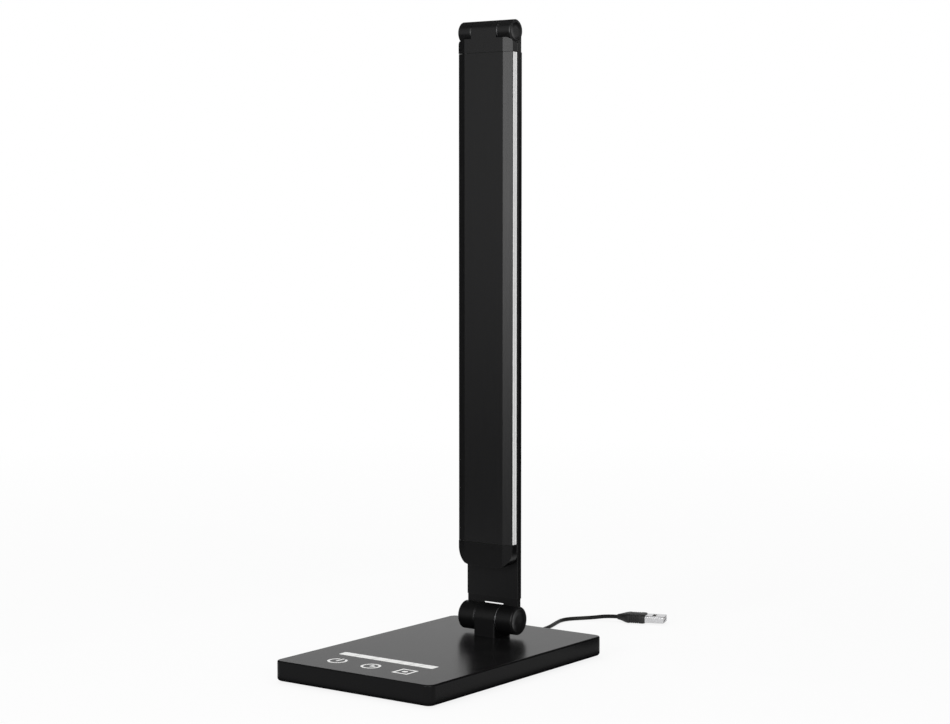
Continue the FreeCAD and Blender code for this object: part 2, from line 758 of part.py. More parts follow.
def hinge_hardware(prefix, centre_half):
    y = prefix + "_y"
    z = prefix + "_z"
    end = prefix + "_barrel_length / 2"
    cap_start = f"{end} - {prefix}_cap_thickness - fit_gap"
    head_start = f"-({cap_start})"
    nut_start = f"{cap_start} - {prefix}_nut_height - fit_gap"
    head = rod(prefix + "_shaft_head", prefix + "_head", prefix + "_head_height", head_start, y, z, "X")
    shank = rod(prefix + "_shaft_shank", prefix + "_shaft",
                f"2 * ({cap_start}) - {prefix}_head_height - fit_gap",
                f"{head_start} + {prefix}_head_height", y, z, "X")
    node(prefix + "_hinge_shaft", fuse(prefix + "_shaft_solid", head, shank))
    nut = hexagon(prefix + "_nut_raw", prefix + "_nut_across", prefix + "_nut_height", nut_start, y, z)
    thread = rod(prefix + "_nut_thread", f"{prefix}_shaft + 2 * thread_gap", prefix + "_nut_height",
                 nut_start, y, z, "X")
    node(prefix + "_hinge_nut", cut(prefix + "_nut_cut", nut, thread))
    washers = []
    slack = "(knuckle_gap - washer_thickness) / 2"
    for side, sx in sides:
        start = f"{centre_half} + {slack}" if sx == "" else f"-({centre_half}) - {slack} - washer_thickness"
        disc = rod(f"{prefix}_{side}_washer_disc", f"{prefix}_barrel - 2 * barrel_bevel", "washer_thickness",
                   start, y, z, "X")
        eye = rod(f"{prefix}_{side}_washer_eye", f"{prefix}_shaft + 2 * running_gap", "washer_thickness",
                  start, y, z, "X")
        washers.append(cut(f"{prefix}_{side}_washer", disc, eye))
    node(prefix + "_friction_washers", group(prefix + "_washers", washers))
    for side, sx in sides:
        start = f"{cap_start} + fit_gap" if sx == "" else "-" + end
        disc = rod(f"{prefix}_{side}_cap_disc", prefix + "_cap", prefix + "_cap_thickness", start, y, z, "X")
        rim = size(prefix + "_barrel_length") / 2 * (1 if sx == "" else -1)
        eased = soften(f"{prefix}_{side}_cap_eased", disc, "cap_edge_round",
                       lambda edge, rim=rim: all(near(v.Point.x, rim) for v in edge.Vertexes))
        node(f"{prefix}_cap_{side}", eased)


lower_inner = "post_width / 2 + knuckle_gap"
upper_inner = "tongue_width / 2 + knuckle_gap"
hinge_hardware("lower", "post_width / 2")
hinge_hardware("upper", "tongue_width / 2")


# Arm: a flat tube with a bracket plugged into each end.
def arm_tube():
    body = new_body("arm_tube_body")
    plan = sketch(body, "arm_section", "XY_Plane", "arm_bottom")
    rectangle(plan, "arm_width", "arm_thickness", "0", "arm_front + arm_thickness / 2")
    bar = pad(body, plan, "arm_length")
    round_over(body, bar, "arm_edges", "arm_edge_round", upright)
    core = sketch(body, "arm_core", "XY_Plane", "arm_bottom")
    rectangle(core, "arm_width - 2 * arm_wall", "arm_thickness - 2 * arm_wall", "0",
              "arm_front + arm_thickness / 2")
    pocket(body, core, "arm_length", True)
    return body


arm_screw_lows = {
    "lower": "arm_bottom + bracket_tongue / 2",
    "upper": "arm_bottom + arm_length - bracket_tongue / 2",
}


def arm_screw_tools(name, diameter, depth, levels):
    return [rod(f"{name}_{level}_{side}", diameter, depth, sx + "arm_screw_spread", f"arm_back - ({depth})",
                arm_screw_lows[level], "Y") for level in levels for side, sx in sides]


tube_holes = arm_screw_tools("tube_hole", "arm_screw_head + 2 * fit_gap", "arm_wall", ("lower", "upper"))
node("arm_tube", cut("arm_tube_cut", arm_tube(), *tube_holes))


def arm_bracket(prefix, inner_half, web_low, web_height, tongue_low, notch):
    """Knuckles, the web behind them and the tongue inside the tube, as one casting."""
    solids, tools = barrel(prefix, inner_half)
    web = block(prefix + "_web", "arm_width - 2 * bracket_step", "arm_thickness - 2 * bracket_step",
                web_height, "0", "arm_front + arm_thickness / 2", web_low)
    tongue = block(prefix + "_tongue", "arm_width - 2 * arm_wall - 2 * fit_gap",
                   "arm_thickness - 2 * arm_wall - 2 * fit_gap", "bracket_tongue",
                   "0", "arm_front + arm_thickness / 2", tongue_low)
    clear = rod(prefix + "_notch", f"{prefix}_barrel + 2 * ({notch})", f"2 * ({inner_half})",
                f"-({inner_half})", prefix + "_y", prefix + "_z", "X")
    web_open = cut(prefix + "_web_open", web, clear)
    threads = arm_screw_tools(prefix + "_thread", "arm_screw_shank + 2 * thread_gap",
                              "arm_wall + arm_screw_depth + fit_gap", (prefix,))
    casting = fuse(prefix + "_casting", *solids, web_open, tongue)
    return cut(prefix + "_bracket_cut", casting, *tools, *threads)


node("arm_lower_bracket", arm_bracket("lower", lower_inner, "lower_z", "arm_lower_setback",
                                      "arm_bottom", "notch_gap"))
node("arm_upper_bracket", arm_bracket("upper", upper_inner, "arm_bottom + arm_length", "arm_upper_setback",
                                      "arm_bottom + arm_length - bracket_tongue", "cove_gap"))
node("arm_screws", group("arm_screw_set", [
    fuse(f"arm_screw_{level}_{side}",
         rod(f"arm_screw_head_{level}_{side}", "arm_screw_head", "arm_wall", sx + "arm_screw_spread",
             "arm_back - arm_wall", arm_screw_lows[level], "Y"),
         rod(f"arm_screw_shank_{level}_{side}", "arm_screw_shank", "arm_screw_depth",
             sx + "arm_screw_spread", "arm_back - arm_wall - arm_screw_depth", arm_screw_lows[level], "Y"))
    for level in arm_screw_lows for side, sx in sides]))
node("arm_lead", block("arm_lead_ribbon", "arm_lead_width", "arm_lead_thickness",
                       "arm_length - 2 * bracket_tongue", "0",
                       "arm_front + arm_wall + arm_lead_thickness / 2", "arm_bottom + bracket_tongue"))

# Head: facetted channel, opal tray behind it, and a cap at each end.
half = "head_width / 2"
face_half = "head_face / 2"
facet_run = "(head_width - head_face) / 2"
shoulder_y = "head_front + facet_depth"
rim_y = "head_front + facet_depth + head_rim"
lip_y = "head_front + facet_depth + head_lip"
rebate_x = "head_width / 2 - rim_rebate"
inner_half = "head_width / 2 - cover_wall"
inner_shoulder = f"head_front + cover_wall + ({facet_run} - cover_wall) * facet_depth / ({facet_run})"
head_low = "head_top - head_length"
head_back = "head_front + head_thickness"
tape_y = "head_front + cover_wall"
plug_front = "head_front + cover_wall + fit_gap"
plug_back = "head_front + head_thickness - diffuser_wall - fit_gap - head_screw_head_height - fit_gap"


def mirrored(points):
    """A right half from front to back, closed by its mirror image."""
    return points + [("-(" + x + ")", y) for x, y in reversed(points)]


cap_screw_levels = {"low": head_low + " + cap_plug / 2", "high": "head_top - cap_plug / 2"}


def head_cover():
    body = new_body("head_cover_body")
    section = sketch(body, "cover_section", "XY_Plane", head_low)
    outside = [(face_half, "head_front"), (half, shoulder_y), (half, lip_y), (rebate_x, lip_y),
               (rebate_x, rim_y)]
    inside = [(inner_half, rim_y), (inner_half, inner_shoulder), (face_half, tape_y)]
    outline(section, mirrored(outside + inside))
    pad(body, section, "head_length")
    threads = sketch(body, "cover_threads", "XZ_Plane", "-(" + tape_y + ")")
    for level in cap_screw_levels.values():
        for side, sx in sides:
            circle(threads, "head_screw_shank + 2 * thread_gap", sx + "head_screw_spread", level)
    pocket(body, threads, "head_screw_bite + fit_gap", True)
    return body


def diffuser():
    body = new_body("diffuser_body")
    section = sketch(body, "tray_section", "XY_Plane", head_low)
    leg = "head_width / 2 - cover_wall - fit_gap"
    wide = "head_width / 2 - diffuser_inset"
    skirt = rebate_x + " + fit_gap"
    outside = [(leg, rim_y + " - diffuser_leg"), (leg, rim_y), (skirt, rim_y), (skirt, lip_y + " + fit_gap"),
               (wide, lip_y + " + fit_gap"), (wide, head_back)]
    outline(section, mirrored([(leg + " - diffuser_wall", head_back + " - diffuser_wall"),
                               (leg + " - diffuser_wall", rim_y + " - diffuser_leg")] + outside))
    tray = pad(body, section, "head_length")
    back = size("head_front") + size("head_thickness")
    round_over(body, tray, "tray_edges", "diffuser_round",
               lambda edge: upright(edge) and near(edge.Vertexes[0].Point.y, back)
               and near(abs(edge.Vertexes[0].Point.x), size("head_width") / 2 - size("diffuser_inset")))
    return body


def cap_section(name, low, height):
    """A prism a little proud of the channel, with its back edges rounded."""
    body = new_body(name + "_body")
    section = sketch(body, name + "_section", "XY_Plane", low)
    outline(section, mirrored([(face_half, "cap_front"), (half + " + cap_proud", shoulder_y),
                               (half + " + cap_proud", head_back)]))
    prism = pad(body, section, height)
    back = size("head_front") + size("head_thickness")
    round_over(body, prism, name + "_edges", "cap_back_round",
               lambda edge: upright(edge) and near(edge.Vertexes[0].Point.y, back))
    return body


def rounded_face(name, radius, low, high, round_low):
    """A deep plate whose two lower or two upper corners are rounded."""
    wide = "head_width + 2 * cap_proud"
    deep = "head_thickness + 2 * overrun"
    y = "head_front + head_thickness / 2"
    edge_z = f"({low}) + {radius}" if round_low else f"({high}) - {radius}"
    narrow = block(name + "_narrow", f"{wide} - 2 * {radius}", deep, f"({high}) - ({low})", "0", y, low)
    rest_low = edge_z if round_low else low
    rest = block(name + "_rest", wide, deep, f"({high}) - ({low}) - {radius}", "0", y, rest_low)
    rounds = [rod(f"{name}_{side}", f"2 * {radius}", deep, f"{sx}(({wide}) / 2 - {radius})",
                  f"{y} - ({deep}) / 2", edge_z, "Y") for side, sx in sides]
    return fuse(name, narrow, rest, *rounds)


def plug_with_holes(name, low, level):
    plug = block(name + "_plug", "cap_plug_width", f"({plug_back}) - ({plug_front})", "cap_plug + cap_seam",
                 "0", f"(({plug_front}) + ({plug_back})) / 2", low)
    holes = [rod(f"{name}_hole_{side}", "head_screw_shank + 2 * fit_gap", "head_thickness",
                 sx + "head_screw_spread", "head_front", level, "Y") for side, sx in sides]
    return cut(name + "_plug_cut", plug, *holes)


def end_cap():
    low = head_low + " - end_cap_height"
    high = head_low + " - cap_seam"
    shell = common("end_cap_shape", cap_section("end_cap", low, "end_cap_height - cap_seam"),
                   rounded_face("end_cap_face", "end_cap_corner", low, high, True))
    return fuse("end_cap_solid", shell, plug_with_holes("end_cap", high, cap_screw_levels["low"]))


def hinge_cap():
    low = "head_top + cap_seam"
    shoulder = "upper_z - shoulder_drop"
    shell = common("hinge_cap_shape", cap_section("hinge_cap", low, "head_drop - shoulder_drop - cap_seam"),
                   rounded_face("hinge_cap_face", "shoulder_corner", low, shoulder, False))
    neck = block("hinge_cap_neck", "tongue_width", "upper_barrel / 2", "head_drop - cap_seam", "0",
                 "cap_front + upper_barrel / 4", low)
    knuckle = rod("hinge_cap_knuckle", "upper_barrel", "tongue_width", "-tongue_width / 2",
                  "upper_y", "upper_z", "X")
    solid = fuse("hinge_cap_solid", shell, neck, knuckle,
                 plug_with_holes("hinge_cap", "head_top - cap_plug", cap_screw_levels["high"]))
    tools = [rod("hinge_cap_bore", "upper_shaft + 2 * running_gap", "tongue_width", "-tongue_width / 2",
                 "upper_y", "upper_z", "X")]
    for side, sx in sides:
        start = "tongue_width / 2" if sx == "" else "-head_width / 2 - overrun"
        tools.append(rod("hinge_cap_cove_" + side, "upper_barrel + 2 * cove_gap",
                         "head_width / 2 + overrun - tongue_width / 2", start, "upper_y", "upper_z", "X"))
    return cut("hinge_cap_cut", solid, *tools)


node("head_cover", head_cover())
node("diffuser", diffuser())
node("head_end_cap", end_cap())
node("head_hinge_cap", hinge_cap())
node("head_screws", group("head_screw_set", [
    fuse(f"head_screw_{level}_{side}",
         rod(f"head_screw_head_{level}_{side}", "head_screw_head", "head_screw_head_height",
             sx + "head_screw_spread", plug_back, z, "Y"),
         rod(f"head_screw_shank_{level}_{side}", "head_screw_shank",
             f"({plug_back}) - ({tape_y}) + head_screw_bite", sx + "head_screw_spread",
             tape_y + " - head_screw_bite", z, "Y"))
    for level, z in cap_screw_levels.items() for side, sx in sides]))

# Light engine: board on thermal tape against the cover, with two columns of LEDs facing the tray.
board_low = head_low + " + led_board_end_gap"
board_length = "head_length - 2 * led_board_end_gap"
led_front = "head_front + cover_wall + tape_thickness + led_board_thickness"
node("thermal_tape", block("tape_strip", "tape_width", "tape_thickness", board_length, "0",
                           tape_y + " + tape_thickness / 2", board_low))
node("led_board", block("led_strip", "led_board_width", "led_board_thickness", board_length, "0",
                        tape_y + " + tape_thickness + led_board_thickness / 2", board_low))
led_pitch = f"(({board_length}) - 2 * led_end_margin) / {led_rows - 1}"
node("leds", group("led_set", [
    block(f"led_{side}_{i}", "led_width", "led_height", "led_length", sx + "led_column_spread",
          led_front + " + led_height / 2",
          f"{board_low} + led_end_margin - led_length / 2 + {i} * ({led_pitch})")
    for side, sx in sides for i in range(led_rows)]))

# Cord exit: a moulded strain relief through the back wall, with the lead inside meeting its flange.
inner_wall = "base_back - side_wall"
flange = block("gland_inner", "gland_flange", "gland_flange_thickness", "2 * (ceiling - cord_z - fit_gap)",
               "cord_exit_x", inner_wall + " - gland_flange_thickness / 2",
               "2 * cord_z - ceiling + fit_gap")
neck = rod("gland_middle", "gland_neck", "side_wall", "cord_exit_x", inner_wall, "cord_z", "Y")
boot = cone("gland_boot", "boot_root", "boot_tip", "boot_length", "cord_exit_x", "base_back", "cord_z", "Y")
node("cord_gland", fuse("gland_solid", flange, neck, boot))
lead_end = "board_y + board_depth / 2"
node("supply_lead", rod("supply_lead_rod", "cord_diameter",
                        f"({inner_wall} - gland_flange_thickness) - ({lead_end})",
                        "cord_exit_x", lead_end, "cord_z", "Y"))


# Coil of spare cord: four layers that spiral in and out by turns, from the top layer to the floor.
def arc_to(start, heading, end):
    """The arc that leaves start along heading and reaches end, with its heading there."""
    chord = end - start
    inward = chord - heading * chord.dot(heading)
    if inward.Length < size("cord_diameter") * straight_share:
        return Part.LineSegment(start, end).toShape(), heading, float("inf")
    inward.normalize()
    radius = chord.dot(chord) / (2 * chord.dot(inward))
    centre = start + inward * radius
    middle = (start - centre) + (end - centre)
    middle.normalize()
    leaving = chord * (2 * chord.dot(heading) / chord.dot(chord)) - heading
    return Part.Arc(start, centre + middle * radius, end).toShape(), leaving, radius


def biarc(start, heading, end, final):
    """Two arcs that share a tangent, from one point and heading to another."""
    chord = end - start
    both = heading + final
    a = 2 * (1 - heading.dot(final))
    b = 2 * chord.dot(both)
    c = -chord.dot(chord)
    if abs(a) < straight_share:
        reach = -c / b
    else:
        reach = (-b + math.sqrt(b * b - 4 * a * c)) / (2 * a)
    joint = (start + heading * reach + end - final * reach) * 0.5
    first, _, first_radius = arc_to(start, heading, joint)
    second_back, _, second_radius = arc_to(end, final * -1, joint)
    points = [second_back.valueAt(p) for p in second_back.ParameterRange]
    middle = second_back.valueAt(sum(second_back.ParameterRange) / 2)
    if second_radius == float("inf"):
        second = Part.LineSegment(joint, end).toShape()
    else:
        second = Part.Arc(points[1], middle, points[0]).toShape()
    return [first, second], min(first_radius, second_radius)


def coil_route():
    """Quarter-turn points of the wound cord, each with its heading."""
    diameter = size("cord_diameter")
    pitch = size("coil_pitch")
    inner = size("coil_inner_radius")
    outer = inner + coil_turns_per_layer * pitch
    tip = size("base_back") + size("boot_length")
    centre = Vector(size("cord_exit_x") - outer, tip + size("coil_reach"), 0)
    floor = size("coil_lift") + diameter / 2
    quarters = 4
    per_layer = coil_turns_per_layer * quarters
    total = int((coil_layers - 1) * per_layer + coil_last_layer_turns * quarters)
    route = []
    for i in range(total + 1):
        layer, step = divmod(i, per_layer)
        inwards = layer % 2 == 0
        share = step / per_layer
        radius = outer - share * (outer - inner) if inwards else inner + share * (outer - inner)
        turning = step == 0 and 0 < i < total
        down = layer - 0.5 if turning else layer
        rate = 0 if turning or i == 0 else (-pitch if inwards else pitch)
        slope = -pitch / math.pi if turning else 0
        angle = i * math.pi / 2
        out = Vector(math.cos(angle), math.sin(angle), 0)
        round_way = Vector(-math.sin(angle), math.cos(angle), 0)
        place = centre + out * radius + Vector(0, 0, floor + (coil_layers - 1 - down) * pitch)
        heading = round_way * radius + out * (rate / (2 * math.pi)) + Vector(0, 0, slope)
        heading.normalize()
        route.append((place, heading))
    return route


def coil_edges():
    route = coil_route()
    forward = Vector(0, 1, 0)
    tip = Vector(size("cord_exit_x"), size("base_back") + size("boot_length"), size("cord_z"))
    level = tip + forward * size("coil_climb_start")
    top = level + forward * size("coil_climb_run")
    top.z = route[0][0].z
    edges = [Part.LineSegment(tip, level).toShape()]
    edges += biarc(level, forward, top, forward)[0]
    edges.append(Part.LineSegment(top, route[0][0]).toShape())
    for (start, heading), (end, final) in zip(route, route[1:]):
        edges += biarc(start, heading, end, final)[0]
    last, final = route[-1]
    edges.append(Part.LineSegment(last, last + final * size("cord_diameter")).toShape())
    return edges, last + final * size("cord_diameter"), final


def tube(path, start, heading):
    """A round cord along a path, as one closed solid."""
    section = Part.Wire([Part.Circle(start, heading, size("cord_diameter") / 2).toShape()])
    return path.makePipeShell([section], True, False)


def least_gap(edges):
    """The least clear distance between stretches of the cord that are not neighbours."""
    step = size("cord_diameter") * step_share
    points = []
    for edge in edges:
        points += edge.discretize(max(2, int(edge.Length / step)))[:-1]
    skip = int(math.pi * size("coil_inner_radius") / step)
    least = float("inf")
    for i, point in enumerate(points):
        for other in points[i + skip:]:
            least = min(least, point.distanceToPoint(other))
    return least - size("cord_diameter")


edges, coil_end, coil_heading = coil_edges()
coil_path = Part.Wire(edges)
coil = doc.addObject("Part::Feature", "coil")
coil.Shape = tube(coil_path, edges[0].Vertexes[0].Point, Vector(0, 1, 0))
node("cord_coil", coil)
section_area = math.pi * size("cord_diameter") ** 2 / 4
print("coil length", round(coil_path.Length, 1), "volume ratio",
      round(coil.Shape.Volume / (coil_path.Length * section_area), 4),
      "least gap", round(least_gap(edges), 3))

# Tail: from the coil along the floor, then up to the plug by the shares given with its points.
floor_z = size("cord_diameter") / 2
plug_rise = size("plug_grip_height") / 2 - floor_z
tail_points = [coil_end, coil_end + coil_heading * size("tail_start")]
tail_points += [Vector(x, y, floor_z + rise_share * plug_rise) for x, y, rise_share in (
    (-27.4, 104.0, 0), (-20.6, 110.4, 0), (-17.2, 119.2, 0), (-16.3, 128.8, 0), (-17.2, 138.4, 0),
    (-19.6, 147.6, 0), (-22.4, 156.6, 0), (-24.6, 165.2, 0), (-23.2, 172.8, 0), (-18.0, 179.4, 0),
    (-10.6, 184.6, 0.3), (-2.6, 188.4, 1), (4.4, 191.0, 1))]


def cord_path(points):
    """Straight runs joined by tangent arcs, each as large as its runs allow."""
    corners_cut = []
    radii = []
    for before, point, after in zip(points, points[1:], points[2:]):
        back = before - point
        on = after - point
        reach = bend_share * min(back.Length, on.Length)
        turn = math.pi - back.getAngle(on)
        radii.append(reach / math.tan(turn / 2))
        back.normalize()
        on.normalize()
        bisector = back + on
        bisector.normalize()
        inside = point + bisector * (radii[-1] / math.cos(turn / 2) - radii[-1])
        corners_cut.append((point + back * reach, inside, point + on * reach))
    parts = []
    here = points[0]
    for start, inside, end in corners_cut:
        parts.append(Part.LineSegment(here, start).toShape())
        parts.append(Part.Arc(start, inside, end).toShape())
        here = end
    parts.append(Part.LineSegment(here, points[-1]).toShape())
    return Part.Wire(parts), radii


tail_path, tail_radii = cord_path(tail_points)
tail = doc.addObject("Part::Feature", "tail")
tail_heading = tail_points[1] - tail_points[0]
tail.Shape = tube(tail_path, tail_points[0], tail_heading)
node("cord_tail", tail)
print("tail length", round(tail_path.Length, 1), "volume ratio",
      round(tail.Shape.Volume / (tail_path.Length * section_area), 4),
      "radii", [round(radius, 1) for radius in tail_radii])

# Tie: a band round the whole bundle of turns on its far side.
coil_outer = f"(coil_inner_radius + {coil_turns_per_layer} * coil_pitch)"
bundle_low = "coil_lift - fit_gap"
bundle_high = f"coil_lift + {coil_layers - 1} * coil_pitch + cord_diameter + fit_gap"
bundle_mid = f"cord_exit_x - {coil_outer} - (coil_inner_radius + {coil_outer}) / 2"
bundle_wide = f"{coil_outer} - coil_inner_radius + cord_diameter + 2 * tie_thickness"
coil_y = "base_back + boot_length + coil_reach"
band = block("tie_outside", bundle_wide + " + 2 * tie_thickness", "tie_width",
             f"({bundle_high}) - ({bundle_low}) + 2 * tie_thickness", bundle_mid, coil_y,
             f"{bundle_low} - tie_thickness")
hole = block("tie_inside", bundle_wide, "tie_width", f"({bundle_high}) - ({bundle_low})", bundle_mid, coil_y,
             bundle_low)
node("cord_tie", cut("tie_band", band, hole))

# Plug: its grip takes the end of the tail, and its metal shell holds a contact tongue.
plug_way = tail_points[-1] - tail_points[-2]
plug_turn = FreeCAD.Rotation(Vector(1, 0, 0), plug_way)


def along_plug(name, length, width, height, start):
    """A box on the plug's own axis, from a distance along it."""
    thing = doc.addObject("Part::Box", name)
    bind(thing, Length=length, Width=width, Height=height)
    ahead = Vector(plug_way)
    ahead.normalize()
    sideways = Vector(-ahead.y, ahead.x, 0)
    thing.Placement = FreeCAD.Placement(
        tail_points[-1] + ahead * start_value(start) - sideways * (start_value(width) / 2)
        - Vector(0, 0, start_value(height) / 2), plug_turn)
    return thing


grip = along_plug("grip_raw", "plug_grip_length", "plug_grip_width", "plug_grip_height", "0")
plug_ahead = Vector(plug_way)
plug_ahead.normalize()


def lengthwise(edge):
    run = edge.Vertexes[-1].Point - edge.Vertexes[0].Point
    return run.cross(plug_ahead).Length < size("fit_gap") * near_share


node("usb_plug_grip", soften("grip_rounded", grip, "plug_grip_round", lengthwise))
shell = along_plug("shell_raw", "plug_shell_length", "plug_shell_width", "plug_shell_height",
                   "plug_grip_length")
mouth = along_plug("shell_mouth", "plug_shell_length", "plug_shell_width - 2 * plug_shell_wall",
                   "plug_shell_height - 2 * plug_shell_wall", "plug_grip_length")
node("usb_plug_shell", cut("shell_cut", shell, mouth))
tongue = along_plug("contact_tongue", "plug_shell_length - plug_tongue_setback",
                    "plug_shell_width - 2 * plug_shell_wall", "plug_tongue_height", "plug_grip_length")
shell_low = (size("plug_grip_height") - size("plug_shell_height")) / 2
tongue.Placement.Base.z = shell_low + size("plug_shell_wall")
node("usb_plug_tongue", tongue)

doc.recompute()
for thing in doc.Objects:
    if "Invalid" in thing.State or "Error" in thing.State:
        raise RuntimeError(f"{thing.Name} failed: {thing.State}")
for thing in nodes:
    if thing.Shape.isNull() or not thing.Shape.isValid():
        raise RuntimeError(thing.Label + " has no valid shape")
os.makedirs("parts", exist_ok=True)
for thing in nodes:
    thing.Shape.exportStep(f"parts/{thing.Label}.step")
print(len(nodes), "sub-parts written")
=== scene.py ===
import math

import bmesh
import bpy
import numpy as np
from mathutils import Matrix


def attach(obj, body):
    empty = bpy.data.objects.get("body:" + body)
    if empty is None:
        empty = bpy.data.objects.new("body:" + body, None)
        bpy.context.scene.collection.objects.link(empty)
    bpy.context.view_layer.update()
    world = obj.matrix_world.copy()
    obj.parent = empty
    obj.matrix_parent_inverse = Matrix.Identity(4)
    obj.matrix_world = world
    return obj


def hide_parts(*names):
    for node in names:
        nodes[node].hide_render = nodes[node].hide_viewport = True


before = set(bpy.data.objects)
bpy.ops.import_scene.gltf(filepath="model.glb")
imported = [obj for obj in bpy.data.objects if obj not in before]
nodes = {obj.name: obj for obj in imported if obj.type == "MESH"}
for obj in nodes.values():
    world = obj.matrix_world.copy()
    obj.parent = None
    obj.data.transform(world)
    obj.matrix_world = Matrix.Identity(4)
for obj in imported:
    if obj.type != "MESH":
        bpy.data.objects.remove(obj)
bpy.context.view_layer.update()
scene = bpy.context.scene
print("frame loaded:", len(nodes), "nodes")

# camera: the place and turn that put the base's edges where the photograph has them
photoView = {"place": (0.77628, -1.02152, 0.27836), "down": 4.03, "turn": 36.357, "lens": 80.515,
             "sensor": 36.0}


# rotation is a quarter turn up from straight down, less the tip below the horizon, then the turn about Z
def makeCamera(view):
    optics = bpy.data.cameras.new("photoCamera")
    optics.sensor_fit = "HORIZONTAL"
    optics.sensor_width = view["sensor"]
    optics.lens = view["lens"]
    camera = bpy.data.objects.new("photoCamera", optics)
    camera.location = view["place"]
    camera.rotation_euler = (math.radians(90 - view["down"]), 0, math.radians(view["turn"]))
    scene.collection.objects.link(camera)
    scene.camera = camera


makeCamera(photoView)
print("camera placed")

# cord: out of the boot, up to the top layer of the coil, down through its layers, along the floor to the plug
cordSpec = {
    "diameter": 0.0026,
    "length": 1.177,
    "boot": [(-0.0310, 0.1009, 0.0085), (-0.0310, 0.1035, 0.0085), (-0.0310, 0.1092, 0.01003),
             (-0.0310, 0.1150, 0.01155)],
    "coilStart": (-0.0310, 0.1199),
    "innerRadius": 0.00943,
    "pitch": 0.00305,
    "layers": 4,
    "turnsPerLayer": 3,
    "turns": 11.75,
    "pointsPerTurn": 24,
    "lift": 0.0011,
    "tail": [(-0.0470, 0.1020, 0.0024), (-0.0366, 0.1017, 0.0024), (-0.0274, 0.1040, 0.0013),
             (-0.0206, 0.1104, 0.0013), (-0.0172, 0.1192, 0.0013), (-0.0163, 0.1288, 0.0013),
             (-0.0172, 0.1384, 0.0013), (-0.0196, 0.1476, 0.0013), (-0.0224, 0.1566, 0.0013),
             (-0.0246, 0.1652, 0.0013), (-0.0232, 0.1728, 0.0013), (-0.0180, 0.1794, 0.0013),
             (-0.0106, 0.1846, 0.00187), (-0.0026, 0.1884, 0.0032), (0.0044, 0.1910, 0.0032)],
    "stepsBetweenPoints": 4,
    "stepsRound": 4,
}


# radius swings from outer to inner and back, one swing a layer; height falls a pitch in the half turn at each
# reversal
def coilTurns(spec):
    turn = np.arange(round(spec["turns"] * spec["pointsPerTurn"]) + 1) / spec["pointsPerTurn"]
    perLayer = spec["turnsPerLayer"]
    spread = perLayer * spec["pitch"]
    radius = spec["innerRadius"] + spread * np.abs((turn / perLayer) % 2 - 1)
    reversal = np.round(turn / perLayer)
    fall = np.maximum(reversal - 0.5 + np.clip(2 * (turn - perLayer * reversal), -0.5, 0.5), 0)
    angle = 2 * np.pi * turn
    x = spec["coilStart"][0] - spec["innerRadius"] - spread + radius * np.cos(angle)
    y = spec["coilStart"][1] + radius * np.sin(angle)
    z = spec["lift"] + spec["diameter"] / 2 + (spec["layers"] - 1 - fall) * spec["pitch"]
    return np.stack([x, y, z], axis=1)


# one open spline with the boot's points, the coil's turns and the tail's points as its control points; the
# bevel is 1 and each point's radius is the cord's own, because a curve's box is its points grown by their
# radius
def makeCord(spec):
    route = np.concatenate([np.array(spec["boot"]), coilTurns(spec), np.array(spec["tail"])])
    curve = bpy.data.curves.new("cord", "CURVE")
    curve.dimensions = "3D"
    curve.bevel_depth = 1.0
    curve.bevel_resolution = spec["stepsRound"]
    curve.resolution_u = spec["stepsBetweenPoints"]
    curve.use_fill_caps = True
    spline = curve.splines.new("NURBS")
    spline.points.add(len(route) - 1)
    spline.points.foreach_set("co", np.column_stack([route, np.ones(len(route))]).ravel())
    spline.points.foreach_set("radius", np.full(len(route), spec["diameter"] / 2))
    spline.order_u = 3
    spline.use_endpoint_u = True
    cord = bpy.data.objects.new("cord", curve)
    scene.collection.objects.link(cord)
    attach(cord, "base")
    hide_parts("cord_coil", "cord_tail")
    return cord


cord = makeCord(cordSpec)
print("cord routed")


# each patch is a grid of points: neighbours along and across become quads, and a closed way joins its last
# line to its first; kept says which quads stay
def buildMesh(name, patches, sharpAngle=38.0):
    points, faces, start = [], [], 0
    for grid, closedRows, closedColumns, kept in patches:
        rows, columns = grid.shape[:2]
        row, column = np.meshgrid(np.arange(rows if closedRows else rows - 1),
                                  np.arange(columns if closedColumns else columns - 1), indexing="ij")
        nextRow, nextColumn = (row + 1) % rows, (column + 1) % columns
        quads = np.stack([row * columns + column, nextRow * columns + column, nextRow * columns + nextColumn,
                          row * columns + nextColumn], axis=-1).reshape(-1, 4)
        if kept is not None:
            quads = quads[kept(grid.reshape(-1, 3)[quads].mean(axis=1))]
        points.append(grid.reshape(-1, 3))
        faces.append(quads + start)
        start += rows * columns
    mesh = bpy.data.meshes.new(name)
    mesh.from_pydata(np.concatenate(points).tolist(), [], np.concatenate(faces).tolist())
    welded = bmesh.new()
    welded.from_mesh(mesh)
    bmesh.ops.remove_doubles(welded, verts=welded.verts, dist=1e-6)  # closes poles and seams
    bmesh.ops.recalc_face_normals(welded, faces=welded.faces)
    welded.to_mesh(mesh)
    welded.free()
    mesh.shade_smooth()
    mesh.set_sharp_from_angle(angle=math.radians(sharpAngle))
    return mesh


# grids whose rows are closed rings, each a patch of its own
def ringMesh(name, *grids):
    return buildMesh(name, [(grid, False, True, None) for grid in grids])


def addPiece(name, mesh, finish, body, replaced=()):
    mesh.materials.append(finish)
    piece = bpy.data.objects.new(name, mesh)
    scene.collection.objects.link(piece)
    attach(piece, body)
    if replaced:
        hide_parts(*replaced)
    return piece


